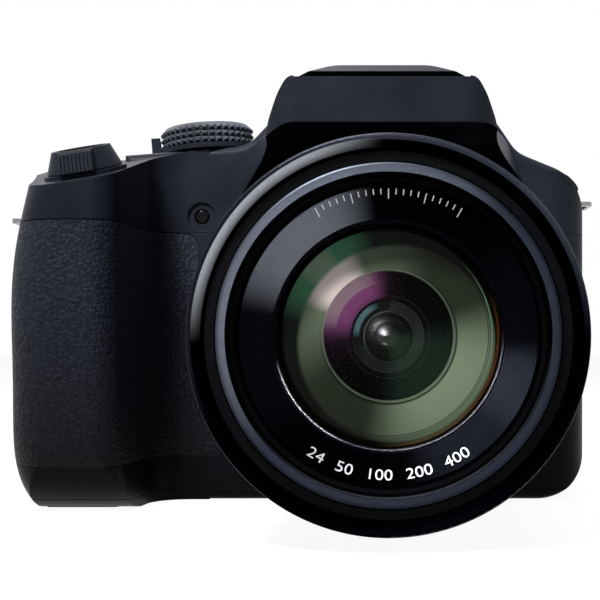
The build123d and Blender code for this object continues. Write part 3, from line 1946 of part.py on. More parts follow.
with BuildPart() as battery_latch:
    extrude(
        box_face(Plane.XY.offset(door_lift), latch_width, latch_length, -latch_x, latch_y + latch_length / 2),
        amount=latch_height,
    )
    for number in range(latch_rib_count):
        extrude(
            box_face(
                Plane.XY.offset(door_lift),
                latch_width,
                slack,
                -latch_x,
                latch_y + (number + 1) * latch_length / (latch_rib_count + 1),
            ),
            amount=slack,
            mode=Mode.SUBTRACT,
        )
finish(battery_latch.part, "battery_latch")

# Side door over the sockets
with BuildPart() as port_door:
    add(slab((body_right - port_thickness, port_front, port_foot), (body_right, port_axis_y, port_top)))
    extrude(
        disc_face(Plane.XY.offset(port_foot), port_barrel_radius, port_axis_x, port_axis_y),
        amount=port_top - port_foot,
    )
    extrude(
        disc_face(Plane.XY.offset(port_foot - port_pin_length), port_pin_radius, port_axis_x, port_axis_y),
        amount=port_top - port_foot + 2 * port_pin_length,
    )
finish(port_door.part, "port_door")

# Mode dial: three rows of pyramids round its rim, on a stem through the deck
dial_axis = Axis(dial_plane.origin, dial_plane.z_dir)
dial_top = dial_lift + dial_height
row_height = (dial_height - dial_chamfer) / dial_rows
rim = []
for row in range(dial_rows):
    foot = dial_lift + row * row_height
    rim += [(dial_radius - dial_groove, foot), (dial_radius, foot + row_height / 2)]
rim.append((dial_radius - dial_groove, dial_top - dial_chamfer))
rim.append((dial_radius - dial_groove - dial_chamfer, dial_top))
with BuildPart() as mode_dial:
    with BuildSketch(upright(dial_plane)):
        with BuildLine():
            Polyline(
                (0, -dial_stem_length),
                (dial_stem_radius, -dial_stem_length),
                (dial_stem_radius, dial_lift),
                *rim,
                (dial_dish_radius, dial_top),
                (dial_dish_radius, dial_top - dial_dish_depth),
                (0, dial_top - dial_dish_depth),
                close=True,
            )
        make_face()
    revolve(axis=dial_axis)
    extrude(
        teeth_face(deck_plane(dial_lift), dial_radius, dial_groove, dial_teeth),
        amount=dial_height - dial_chamfer,
        mode=Mode.SUBTRACT,
    )
finish(mode_dial.part, "mode_dial")

with BuildPart() as power_lever:
    lever_foot = deck_plane((dial_lift - power_ring_height) / 2)
    extrude(disc_face(lever_foot, power_ring_radius), amount=power_ring_height)
    turn = radians(power_tab_angle)
    with BuildSketch(lever_foot):
        with Locations((power_tab_reach / 2 * cos(turn), power_tab_reach / 2 * sin(turn))):
            Rectangle(power_tab_reach, power_tab_width, rotation=power_tab_angle)
    extrude(amount=power_tab_height)
    extrude(
        disc_face(lever_foot.offset(power_ring_height), power_ring_radius - slack),
        amount=power_tab_height,
        mode=Mode.SUBTRACT,
    )
    extrude(
        disc_face(lever_foot, dial_stem_radius + running_fit),
        amount=power_ring_height,
        mode=Mode.SUBTRACT,
    )
finish(power_lever.part, "power_lever")

# Zoom lever: a cone with a ribbed tab that leans back, on a hollow stem for the shutter button
lever_foot_lift = plinth_height + lever_lift
lever_axis = Axis(lever_axis_plane.origin, lever_axis_plane.z_dir)
tab_side = Plane(
    origin=lever_plane(lever_foot_lift).origin,
    x_dir=-lever_axis_plane.y_dir,
    z_dir=-lever_axis_plane.x_dir,
)
with BuildPart() as zoom_lever:
    with BuildSketch(upright(lever_plane(lever_foot_lift))):
        with BuildLine():
            Polyline(
                (shutter_stem_radius + running_fit, -lever_foot_lift - lever_stem_length),
                (lever_stem_radius, -lever_foot_lift - lever_stem_length),
                (lever_stem_radius, 0),
                (lever_radius, 0),
                (lever_top_radius, lever_height),
                (lever_bore, lever_height),
                (lever_bore, lever_floor),
                (shutter_stem_radius + running_fit, lever_floor),
                close=True,
            )
        make_face()
    revolve(axis=lever_axis)
    with BuildSketch(tab_side):
        with BuildLine():
            Polyline(
                (lever_bore + slack, 0),
                (lever_tab_reach, 0),
                (lever_tab_top_reach, lever_tab_height),
                (lever_bore + slack, lever_tab_height),
                close=True,
            )
        make_face()
    extrude(amount=lever_tab_width / 2, both=True)
    lean = atan2(lever_tab_reach - lever_tab_top_reach, lever_tab_height)
    tab_foot = lever_axis_plane.origin + lever_axis_plane.z_dir * lever_foot_lift
    tab_foot = tab_foot - lever_axis_plane.y_dir * lever_tab_reach
    rib_plane = Plane(
        origin=tab_foot,
        x_dir=lever_axis_plane.x_dir,
        z_dir=lever_axis_plane.z_dir * cos(lean) + lever_axis_plane.y_dir * sin(lean),
    )
    with BuildSketch(rib_plane):
        with GridLocations(lever_tab_width / lever_rib_count, 0, lever_rib_count, 1):
            Circle(lever_rib_radius)
    extrude(amount=lever_tab_height)
finish(zoom_lever.part, "zoom_lever")

with BuildPart() as shutter_button:
    cap_foot = shutter_height - shutter_dome - overrun
    with BuildSketch(upright(lever_axis_plane)):
        with BuildLine():
            Polyline(
                (0, shutter_height),
                (0, shutter_height - shutter_stem_length),
                (shutter_stem_radius, shutter_height - shutter_stem_length),
                (shutter_stem_radius, cap_foot),
                (shutter_radius, cap_foot),
                (shutter_radius, shutter_height - shutter_dome),
            )
            ThreePointArc(
                (shutter_radius, shutter_height - shutter_dome),
                (shutter_radius / 2, shutter_height - cap_sag(shutter_radius, shutter_dome)),
                (0, shutter_height),
            )
        make_face()
    revolve(axis=lever_axis)
finish(shutter_button.part, "shutter_button")

# Buttons on the deck and on the rear, the rear dial, the cursor pad and the thumb rest
for name, left in (("film_button", film_button_x), ("burst_button", burst_button_x)):
    with BuildPart() as deck_button:
        place = deck_plane(0)
        spot = place.from_local_coords((deck_x(left), top_button_y, 0))
        button_plane = Plane(origin=spot, x_dir=place.x_dir, z_dir=place.z_dir)
        add(push_button(button_plane, top_button_radius, top_button_proud, top_button_flange, case_wall))
    finish(deck_button.part, name)

for name, left, height, radius in button_places:
    with BuildPart() as rear_button:
        button_plane = Plane(origin=(-left, body_rear, height), x_dir=(-1, 0, 0), z_dir=(0, 1, 0))
        add(push_button(button_plane, radius, rear_button_proud, rear_button_flange, case_wall))
    finish(rear_button.part, name)

with BuildPart() as cursor_pad:
    pad_plane = Plane(origin=(-pad_x, body_rear, pad_z), x_dir=(-1, 0, 0), z_dir=(0, 1, 0))
    add(push_button(pad_plane, pad_radius, rear_button_proud, rear_button_flange, case_wall))
    extrude(
        disc_face(pad_plane.offset(rear_button_proud), pad_bore),
        amount=-rear_button_proud - deep,
        mode=Mode.SUBTRACT,
    )
finish(cursor_pad.part, "cursor_pad")

with BuildPart() as menu_button:
    pad_wall = case_wall + seam + rear_button_flange + pad_travel
    add(push_button(pad_plane, pad_set_radius, rear_button_proud, rear_button_flange, pad_wall))
finish(menu_button.part, "menu_button")

with BuildPart() as rear_dial:
    dial_low = Plane.XY.offset(rear_dial_z - rear_dial_thickness / 2)
    extrude(disc_face(dial_low, rear_dial_radius, -rear_dial_x, rear_dial_y), amount=rear_dial_thickness)
    teeth_plane = Plane(origin=(-rear_dial_x, rear_dial_y, rear_dial_z - rear_dial_thickness / 2))
    extrude(
        teeth_face(teeth_plane, rear_dial_radius, rear_dial_groove, rear_dial_teeth),
        amount=rear_dial_thickness,
        mode=Mode.SUBTRACT,
    )
    axle_length = rear_dial_thickness + 2 * slack + 2 * rear_dial_shelf
    extrude(
        disc_face(Plane.XY.offset(shelf_levels[0]), rear_dial_axle, -rear_dial_x, rear_dial_y),
        amount=axle_length,
    )
finish(rear_dial.part, "rear_dial")

with BuildPart() as thumb_rest:
    extrude(
        box_face(rear_plane(body_rear), thumb_width, thumb_height, thumb_x, thumb_z, thumb_corner),
        amount=thumb_thickness,
    )
    fillet(thumb_rest.faces().sort_by(Axis.Y)[-1].edges(), thumb_thickness / 2)
finish(thumb_rest.part, "thumb_rest")

# Screws: four hold the main board on the frame's posts, two hold the frame on the base
with BuildPart() as screws:
    for across, height in board_places:
        extrude(
            disc_face(rear_plane(frame_front), screw_radius, -across, height),
            amount=board_back - frame_front,
        )
        extrude(
            disc_face(rear_plane(board_back), screw_head_radius, -across, height),
            amount=screw_head_height,
        )
    for across, back in base_screws:
        extrude(disc_face(Plane.XY.offset(seam), screw_head_radius, across, back), amount=screw_head_height)
        extrude(
            disc_face(Plane.XY.offset(seam), screw_radius, across, back),
            amount=case_wall + frame_foot_height,
        )
finish(screws.part, "screws")
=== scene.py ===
from math import cos, pi, radians, sin

import bmesh
import bpy
from mathutils import Matrix, Vector


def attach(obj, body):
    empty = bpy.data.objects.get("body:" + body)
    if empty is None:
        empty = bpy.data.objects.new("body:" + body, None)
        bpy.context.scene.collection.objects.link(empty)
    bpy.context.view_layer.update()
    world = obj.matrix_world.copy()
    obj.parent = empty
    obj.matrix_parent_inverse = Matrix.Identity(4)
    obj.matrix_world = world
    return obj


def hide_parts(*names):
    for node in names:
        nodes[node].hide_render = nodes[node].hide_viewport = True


# Metres, in the frame of the CAD: X to the viewer's right, Y to the rear, Z up, the lens along -Y.
LENS_HEIGHT = 0.038
EYE = (0.0, -0.3042, 0.0368)
FOCAL_LENGTH = 75.0
SENSOR_WIDTH = 36.0
SHIFT = (-0.1475, 0.0707)

# Colours, as sRGB bytes
BODY_COLOR = (30, 33, 41)
RUBBER_COLOR = (31, 34, 43)
LENS_COLOR = (10, 11, 15)
MATT_COLOR = (12, 12, 16)
LETTER_COLOR = (225, 228, 232)
STEEL_COLOR = (150, 152, 156)
BRASS_COLOR = (190, 150, 80)
BOARD_COLOR = (20, 75, 45)
GREY_COLOR = (80, 80, 84)

# The sheens and bands are painted to imitate the photograph's light, and stay put under any other light.
# Sheens round the lens axis: direction in degrees from the viewer's right, half width, strength, colour
CONE_SHEENS = [
    (180, 50, 0.7, (13, 13, 21)),
    (0, 50, 0.7, (11, 11, 18)),
    (318, 42, 0.9, (31, 34, 42)),
    (338, 20, 0.8, (52, 56, 67)),
    (133, 38, 1.0, (112, 117, 126)),
]
# Bands round the lens axis: inner and outer radius in millimetres, strength, colour, direction, half width
ALL_ROUND = (0, 360)
CONE_BANDS = [(26.65, 27.6, 1.0, (1, 1, 3), *ALL_ROUND)]
TRIM_BANDS = [
    (33.95, 36.5, 0.9, (56, 59, 70), 68, 72),
    (34.3, 36.5, 0.7, (30, 33, 41), 150, 60),
    (32.75, 34.4, 1.0, (184, 188, 196), 137, 46),
]
LIP_BANDS = [
    (28.3, 30.1, 1.0, (33, 37, 47), *ALL_ROUND),
    (28.3, 30.1, 0.95, (74, 77, 87), 145, 80),
    (28.3, 30.1, 0.7, (68, 73, 83), 92, 45),
    (28.02, 28.36, 1.0, (122, 125, 136), 283, 80),
]
RETAINER_BANDS = [
    (20.75, 21.15, 1.0, (140, 140, 146), 222, 30),
    (20.75, 21.15, 0.9, (104, 104, 112), 308, 55),
    (20.75, 21.15, 0.5, (70, 72, 80), 270, 60),
]
# Painted reflections and highlights on the front glass, in the tints of its coating: outside the sage
# disc, on it and in the middle
CRESCENT_SHEENS = [
    (135, 80, 0.6, (20, 32, 24)),
    (135, 38, 1.0, (74, 132, 98)),
    (135, 13, 0.9, (128, 150, 126)),
]
SAGE_SHEENS = [
    (318, 66, 1.0, (136, 154, 126)),
    (135, 82, 0.9, (98, 110, 91)),
    (135, 27, 1.0, (236, 220, 216)),
]
MIDDLE_SHEENS = [(318, 62, 1.0, (40, 58, 46))]
MIDDLE_BANDS = [
    (6.6, 12.6, 0.7, (48, 26, 45), 142, 80),
    (6.9, 12.6, 0.9, (118, 62, 106), 137, 50),
    (9.6, 12.6, 0.8, (134, 116, 122), 137, 40),
]
# Rings painted on the front glass: the pale and coloured ones are painted reflections, the dark ones
# painted shade
GLASS_BANDS = [
    (18.25, 18.5, 0.8, (12, 20, 12), 322, 130),
    (18.5, 20.8, 0.45, (14, 22, 15), 322, 150),
    (18.95, 19.25, 0.75, (122, 158, 128), 350, 60),
    (19.65, 20.9, 1.0, (6, 7, 4), *ALL_ROUND),
    (19.7, 20.5, 0.9, (98, 84, 56), 312, 50),
    (19.9, 20.5, 0.8, (84, 44, 26), 345, 40),
    (12.15, 12.75, 0.85, (20, 28, 18), 300, 170),
    (11.95, 12.13, 0.9, (132, 142, 124), *ALL_ROUND),
    (5.3, 6.5, 0.8, (120, 160, 168), 146, 40),
    (4.35, 4.6, 0.7, (140, 158, 140), 150, 80),
]

# Fine forms that the CAD leaves to this script
CONE_OUTER = (0.0272, 0.0818)
CONE_INNER = (0.02135, 0.0770)
CONE_RIDGES = 26
CONE_RIDGE_DEPTH = 0.00007
CONE_THICKNESS = 0.0011
THREAD_RADIUS = 0.0275
THREAD_BACK = 0.0825
THREAD_PITCH = 0.0006
THREAD_TURNS = 6
THREAD_DEPTH = 0.00022
THREAD_GAP = 0.00001
SEGMENTS = 288
RING_SIDES = 8
TURNED_SHARP = radians(40)
CAD_SHARP = radians(28)

# The scale on the cone; turns are in degrees
SCALE_NUMBERS = "24  50  100  200  400"
SCALE_MIDDLE = 270
SCALE_RADIUS = 0.0251
SCALE_SIZE = 0.0033
DIGIT_RELIEF = 0.00003
DIGIT_TURN = 3.8
BLANK_TURN = 2.6
TICK_COUNT = 21
TICK_START = 60
TICK_STEP = 3
TICKS_PER_LONG = 5
TICK_LENGTH = 0.0012
LONG_TICK = 1.8
TICK_WIDTH = 0.0002
TICK_HEIGHT = 0.00006

# The front glass: its sage disc, its clearer middle and the painted reflection over that middle, where the
# glass is less see-through
SAGE_CENTRE = (0.0015, -0.0015)
SAGE_RADIUS = 0.0182
SAGE_FADE = (-0.0006, 0.0004)
MIDDLE_EDGE = (0.01200, 0.01215)
CLEAR_EDGE = (0.0119, 0.0121)
CLEAR_SHARES = (0.35, 0.97)
REFLECTION_TURN = 140
REFLECTION_SPREAD = 70
REFLECTION_STRENGTH = 0.9
REFLECTION_EDGE = (0.0045, 0.0085)

# Forward places where the faces of two rings begin, and the fade there
TRIM_FRONT = 0.0860
LIP_FRONT = 0.0868
FRONT_FADE = 0.0001

# Heights between which the plastic and the rubber darken as painted shade, and the share of the colour
# left at the lower
SHADE_HEIGHTS = (-0.002, 0.055)
SHADE_SHARE = 0.07

# Lamps: name, kind, place, target, size, power in watts, cone in degrees
BODY_MIDDLE = (-0.015, -0.02, 0.045)
LAMPS = [
    ("key", "SPOT", (-0.22, -0.48, 0.62), (-0.03, -0.02, 0.115), 0.1, 62.0, 20),
    ("soft", "AREA", (-0.2, -0.5, 0.7), BODY_MIDDLE, 0.5, 1.2, None),
    ("top", "AREA", (0.0, 0.05, 0.75), BODY_MIDDLE, 0.5, 2.1, None),
    ("rim", "AREA", (-0.25, 0.5, 0.7), BODY_MIDDLE, 0.4, 1.5, None),
    ("side", "AREA", (0.7, 0.1, 0.4), BODY_MIDDLE, 0.3, 0.8, None),
    ("glass", "SPOT", (-0.02, -0.8, 0.06), (0.0, -0.077, 0.038), 0.03, 60.0, 1.7),
]
WHITE = (1.0, 1.0, 1.0, 1.0)
AMBIENT_COLOR = (0.86, 0.9, 1.0, 1.0)
AMBIENT_STRENGTH = 0.1
FLOOR_REACH = 3
FLOOR_TONES = ((0.17, 0.17, 0.17, 1), (0.19, 0.19, 0.19, 1))
FLOOR_GLOW = 0.93


def linear(color):
    """An sRGB byte colour as linear RGBA."""
    parts = [value / 255 for value in color]
    return (*[p / 12.92 if p <= 0.04045 else ((p + 0.055) / 1.055) ** 2.4 for p in parts], 1.0)


class Nodes:
    """A small helper that builds one material's node tree."""

    def __init__(self, name):
        self.material = bpy.data.materials.new(name)
        self.material.use_nodes = True
        self.tree = self.material.node_tree
        self.shader = self.tree.nodes["Principled BSDF"]
        self.output = self.tree.nodes["Material Output"]

    def add(self, kind, inputs=None, **settings):
        """A node with its settings and inputs; an input that is a socket is linked."""
        node = self.tree.nodes.new("ShaderNode" + kind)
        for key, value in settings.items():
            setattr(node, key, value)
        for key, value in (inputs or {}).items():
            self.put(node.inputs[key], value)
        return node

    def put(self, socket, value):
        if isinstance(value, bpy.types.NodeSocket):
            self.tree.links.new(value, socket)
        else:
            socket.default_value = value

    def math(self, operation, *values):
        return self.add("Math", dict(enumerate(values)), operation=operation).outputs[0]

    def position(self):
        """The place on the object at rest."""
        return self.add("TexCoord").outputs["Object"]

    def mix(self, factor, one, other):
        node = self.add("Mix", data_type="RGBA")
        self.put(node.inputs["Factor"], factor)
        self.put(node.inputs[6], one)
        self.put(node.inputs[7], other)
        return node.outputs[2]

    def range(self, value, low, high, to_low=0.0, to_high=1.0):
        """A value carried from one range to another, held at its ends."""
        inputs = {"Value": value, "From Min": low, "From Max": high, "To Min": to_low, "To Max": to_high}
        return self.add("MapRange", inputs, interpolation_type="SMOOTHSTEP").outputs["Result"]

    def noise(self, scale, detail=3.0, roughness=0.5):
        inputs = {"Vector": self.position(), "Scale": scale, "Detail": detail, "Roughness": roughness}
        return self.add("TexNoise", inputs).outputs[0]

    def shaded(self, color):
        """Darkens a colour toward the base: painted shade, after the fall of the photograph's light."""
        height = self.add("SeparateXYZ", {0: self.position()}).outputs["Z"]
        return self.mix(self.range(height, *SHADE_HEIGHTS, SHADE_SHARE, 1.0), (0, 0, 0, 1), color)

    def bump(self, height, strength, distance, edge=0.0):
        """A bump whose ground normal rounds the edges off by edge."""
        inputs = {"Height": height, "Strength": strength, "Distance": distance}
        if edge:
            bevel = self.add("Bevel", {"Radius": edge}, samples=6)
            inputs["Normal"] = bevel.outputs[0]
        return self.add("Bump", inputs).outputs[0]

    def set(self, **inputs):
        """Sets or links the shader's inputs, whose spaces are written as underlines."""
        for key, value in inputs.items():
            self.put(self.shader.inputs[key.replace("_", " ")], value)


def moulded(name, color, roughness, grain=2600.0, depth=0.00002, edge=0.00025, shine=0.05):
    """Moulded plastic: fine spark-eroded grain, uneven sheen, edges that shade as rounded, and painted
    shade toward the base.
    """
    m = Nodes(name)
    cloud = m.noise(60.0, 4.0)
    fine = m.noise(grain, 2.0, 0.6)
    dark = linear([value * 0.86 for value in color])
    light = linear([min(255, value * 1.12 + 1) for value in color])
    m.set(Base_Color=m.shaded(m.mix(m.range(cloud, 0.3, 0.7), dark, light)))
    m.set(Roughness=m.range(cloud, 0.3, 0.7, roughness - 0.06, roughness + 0.06))
    m.set(Normal=m.bump(fine, 0.35, depth, edge), Specular_IOR_Level=shine)
    return m.material


def leather(name, color):
    """Moulded leather grain: pebbles with creases between them, painted lighter on the pebbles and darker
    in the creases, with painted shade toward the base.
    """
    m = Nodes(name)
    place = m.position()
    warp = m.add("TexNoise", {"Vector": place, "Scale": 500.0, "Detail": 2.0}).outputs["Color"]
    shift = m.add("VectorMath", {0: warp, "Scale": 0.0009}, operation="SCALE").outputs[0]
    bent = m.add("VectorMath", {0: place, 1: shift}, operation="ADD").outputs[0]
    cells = m.add("TexVoronoi", {"Vector": bent, "Scale": 1150.0, "Randomness": 1.0}, feature="SMOOTH_F1")
    m.put(cells.inputs["Smoothness"], 0.35)
    creases = m.add("TexVoronoi", {"Vector": bent, "Scale": 950.0}, feature="DISTANCE_TO_EDGE")
    pebble = m.range(cells.outputs["Distance"], 0.1, 0.75, 1.0, 0.0)
    crease = m.range(creases.outputs["Distance"], 0.0, 0.18)
    height = m.math("MULTIPLY", m.math("ADD", pebble, m.math("MULTIPLY", crease, 0.5)), 0.7)
    fine = m.noise(3800.0, 2.0)
    height = m.math("ADD", height, m.math("MULTIPLY", fine, 0.25))
    # Colour follows the grain's height, lighter on the pebbles and darker in the creases: painted
    # highlight and painted shade
    grain = m.mix(height, linear([v * 0.6 for v in color]), linear([v * 1.2 + 2 for v in color]))
    m.set(Base_Color=m.shaded(grain))
    m.set(Roughness=m.range(height, 0.2, 1.0, 0.6, 0.42), Specular_IOR_Level=0.1)
    m.set(Normal=m.bump(height, 0.8, 0.00018))
    return m.material


def metal(name, color, roughness):
    """Turned or stamped metal with fine brushing."""
    m = Nodes(name)
    streak = m.add("Mapping", {"Vector": m.position(), "Scale": (900.0, 60.0, 900.0)}).outputs[0]
    lines = m.add("TexNoise", {"Vector": streak, "Scale": 1.0, "Detail": 3.0}).outputs[0]
    m.set(Base_Color=m.mix(lines, linear([v * 0.8 for v in color]), linear(color)), Metallic=1.0)
    m.set(Roughness=m.range(lines, 0.2, 0.8, roughness - 0.08, roughness + 0.08))
    m.set(Normal=m.bump(lines, 0.2, 0.00002, 0.0001))
    return m.material


class LensNodes(Nodes):
    """Nodes for a turned piece: its colour goes by radius and by direction round the lens axis."""

    def __init__(self, name):
        super().__init__(name)
        split = self.add("SeparateXYZ", {0: self.position()})
        self.across = split.outputs["X"]
        self.forward = self.math("MULTIPLY", split.outputs["Y"], -1.0)
        self.up = self.math("SUBTRACT", split.outputs["Z"], LENS_HEIGHT)
        self.reach = self.length(self.across, self.up)

    def length(self, one, other):
        squares = [self.math("MULTIPLY", side, side) for side in (one, other)]
        return self.math("SQRT", self.math("ADD", *squares))

    def toward(self, degrees):
        """The cosine of the angle between a point's direction from the axis and one clock direction."""
        one = self.math("MULTIPLY", self.across, cos(radians(degrees)))
        other = self.math("MULTIPLY", self.up, sin(radians(degrees)))
        return self.math("DIVIDE", self.math("ADD", one, other), self.math("MAXIMUM", self.reach, 0.0001))

    def sector(self, color, degrees, half_width, strength, tone):
        """Blends a tone in over a sector that fades out at half_width degrees from its middle."""
        share = self.range(self.toward(degrees), cos(radians(half_width)), 1.0, 0.0, strength)
        return self.mix(share, color, linear(tone))

    def band(self, color, inner, outer, strength, tone, degrees, spread):
        """Blends a tone in over a ring between two radii, in millimetres, about one direction."""
        edge = min(0.15, (outer - inner) / 3) / 1000
        share = self.math("MULTIPLY",
            self.range(self.reach, inner / 1000, inner / 1000 + edge, 0.0, strength),
            self.range(self.reach, outer / 1000 - edge, outer / 1000, 1.0, 0.0),
        )
        if spread < 180:
            arc = self.range(self.toward(degrees), cos(radians(spread)), cos(radians(spread * 0.3)))
            share = self.math("MULTIPLY", share, arc)
        return self.mix(share, color, linear(tone))

    def paint(self, color, sheens=(), bands=()):
        """Blends in a list of sectors, then a list of bands."""
        for sheen in sheens:
            color = self.sector(color, *sheen)
        for band in bands:
            color = self.band(color, *band)
        return color

    def grooves(self, pitch, strength, distance):
        """A bump of fine turned lines round the axis."""
        wave = self.math("SINE", self.math("MULTIPLY", self.reach, 2 * pi / pitch))
        return self.bump(wave, strength, distance)

    def veil(self, opacity):
        """Makes the surface see-through, but for an opacity."""
        clear = self.add("BsdfTransparent").outputs[0]
        mix = self.add("MixShader", {0: opacity, 1: clear})
        self.put(mix.inputs[2], self.shader.outputs[0])
        self.put(self.output.inputs["Surface"], mix.outputs[0])


def turned(name, color, sheens=(), bands=(), roughness=0.4, pitch=0.00012, metallic=1.0, front=0.0):
    """Turned ring with circular lines and painted sheens, plain behind its front.

    Its metallic share makes it mirror the white surroundings, also where the real ring may be plastic.
    """
    m = LensNodes(name)
    fine = m.noise(3000.0)
    ahead = m.range(m.forward, front - FRONT_FADE, front + FRONT_FADE)
    tone = m.mix(ahead, linear(LENS_COLOR), m.paint(linear(color), sheens, bands))
    m.set(Base_Color=m.mix(m.range(fine, 0.3, 0.7, 0.0, 0.15), tone, linear((0, 0, 0))))
    m.set(Roughness=m.range(fine, 0.2, 0.8, roughness - 0.05, roughness + 0.05))
    m.set(Normal=m.grooves(pitch, 0.15, 0.000004), Specular_IOR_Level=0.03)
    m.set(Metallic=m.math("MULTIPLY", ahead, metallic) if front else metallic)
    return m.material


def clear_glass(name, tint, opacity, roughness=0.04, shine=0.5):
    """Thin clear glass: partly see-through, with the tint and gloss of its coating."""
    m = LensNodes(name)
    haze = m.noise(200.0)
    m.set(Base_Color=m.mix(haze, linear([v * 0.8 for v in tint]), linear(tint)))
    m.set(Roughness=roughness, Specular_IOR_Level=shine)
    m.veil(m.range(haze, 0.2, 0.8, opacity * 0.92, opacity * 1.06))
    return m.material


def front_glass_reflections(name):
    """The front glass: a sage disc and emerald crescent painted as reflections in the coating's tints, and
    a clearer dark middle.
    """
    m = LensNodes(name)
    outside = m.paint(linear((7, 9, 6)), CRESCENT_SHEENS)
    sage = m.paint(linear((37, 43, 31)), SAGE_SHEENS)
    across = m.math("SUBTRACT", m.across, SAGE_CENTRE[0])
    away = m.length(across, m.math("SUBTRACT", m.up, SAGE_CENTRE[1]))
    edge = [SAGE_RADIUS + step for step in SAGE_FADE]
    color = m.mix(m.range(away, *edge), sage, outside)
    middle = m.paint(linear((6, 7, 5)), MIDDLE_SHEENS, MIDDLE_BANDS)
    color = m.mix(m.range(m.reach, *MIDDLE_EDGE), middle, color)
    m.set(Base_Color=m.paint(color, (), GLASS_BANDS), Roughness=0.08, Specular_IOR_Level=0.06)
    # Less see-through where the painted reflection lies over the middle
    reflection_share = m.range(m.toward(REFLECTION_TURN), cos(radians(REFLECTION_SPREAD)), 1.0, 0.0, REFLECTION_STRENGTH)
    reflection_share = m.math("MULTIPLY", reflection_share, m.range(m.reach, *REFLECTION_EDGE))
    m.veil(m.math("MAXIMUM", reflection_share, m.range(m.reach, *CLEAR_EDGE, *CLEAR_SHARES)))
    return m.material


def relay_tint_and_reflections(name):
    """The glass at the iris: deep green coating tint, with a paler middle and rim painted as reflections.
    """
    m = LensNodes(name)
    color = m.mix(m.range(m.reach, 0.0008, 0.003), linear((120, 150, 118)), linear((42, 66, 50)))
    color = m.mix(m.range(m.reach, 0.0035, 0.0052), color, linear((52, 84, 64)))
    m.set(Base_Color=color, Roughness=0.05, Specular_IOR_Level=0.6)
    m.veil(0.94)
    return m.material


def lathe(name, profile, body, material, segments=SEGMENTS, closed=True):
    """A turned piece about the lens axis, from (radius, forward) points."""
    mesh = bpy.data.meshes.new(name)
    shape = bmesh.new()
    loops = []
    for number in range(segments):
        turn = 2 * pi * number / segments
        loops.append([
            shape.verts.new((radius * cos(turn), -forward, LENS_HEIGHT + radius * sin(turn)))
            for radius, forward in profile
        ])
    count = len(profile)
    for number in range(segments):
        one, other = loops[number], loops[(number + 1) % segments]
        for k in range(count if closed else count - 1):
            after = (k + 1) % count
            shape.faces.new((one[k], one[after], other[after], other[k]))
    bmesh.ops.recalc_face_normals(shape, faces=shape.faces)
    for face in shape.faces:
        face.smooth = True
    shape.to_mesh(mesh)
    shape.free()
    mesh.set_sharp_from_angle(angle=TURNED_SHARP)
    piece = bpy.data.objects.new(name, mesh)
    bpy.context.scene.collection.objects.link(piece)
    mesh.materials.append(material)
    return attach(piece, body)


def ring(name, radius, forward, thickness, body, material):
    """A thin round ring about the lens axis."""
    turns = [2 * pi * k / RING_SIDES for k in range(RING_SIDES)]
    profile = [(radius + thickness * cos(turn), forward + thickness * sin(turn)) for turn in turns]
    return lathe(name, profile, body, material)


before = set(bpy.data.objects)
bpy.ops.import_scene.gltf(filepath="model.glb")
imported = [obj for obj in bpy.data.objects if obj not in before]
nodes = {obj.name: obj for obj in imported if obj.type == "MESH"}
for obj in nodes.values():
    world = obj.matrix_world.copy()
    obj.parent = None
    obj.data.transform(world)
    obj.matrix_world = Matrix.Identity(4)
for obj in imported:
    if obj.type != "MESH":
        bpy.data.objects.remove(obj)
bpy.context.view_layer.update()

body = moulded("body_plastic", BODY_COLOR, 0.42)
rubber = leather("grip_leather", RUBBER_COLOR)
soft = moulded("soft_rubber", MATT_COLOR, 0.62, grain=1800.0)
# The lens plastic has a painted sheen toward the upper left; the black rings below carry painted
# highlights and painted shade
lens = turned("lens_plastic", LENS_COLOR, [(135, 70, 0.6, (15, 16, 20))], metallic=0.0)
trim = turned("trim_plastic", (2, 2, 5), (), TRIM_BANDS, 0.36, pitch=0.00014, front=TRIM_FRONT)
lip = turned("lip_black", (2, 2, 5), (), LIP_BANDS, 0.35, pitch=0.0003, front=LIP_FRONT)
retainer = turned("retainer_black", (2, 2, 4), (), RETAINER_BANDS, 0.35, pitch=0.0003)
cone = turned("cone_black", (2, 2, 4), CONE_SHEENS, CONE_BANDS, 0.4, pitch=0.00011)
dial = moulded("dial_grip", (58, 62, 71), 0.36, shine=0.2)
matt = moulded("lens_matt", (6, 6, 8), 0.6, grain=3000.0, shine=0.03)
inner = moulded("inner_plastic", GREY_COLOR, 0.5)
board = moulded("circuit_board", BOARD_COLOR, 0.4)
letter = turned("letter_paint", LETTER_COLOR, roughness=0.5, metallic=0.9)
steel = metal("steel", STEEL_COLOR, 0.3)
brass = metal("brass", BRASS_COLOR, 0.3)
clear = clear_glass("clear_window", (200, 205, 215), 0.3)
screen = clear_glass("screen_window", (8, 9, 12), 0.92, shine=0.12)
display = moulded("display", (12, 12, 15), 0.2, edge=0.0, shine=0.3)
front_glass = front_glass_reflections("front_glass")
inner_glass = clear_glass("inner_glass", (20, 26, 24), 0.12)
relay_glass = relay_tint_and_reflections("relay_glass")

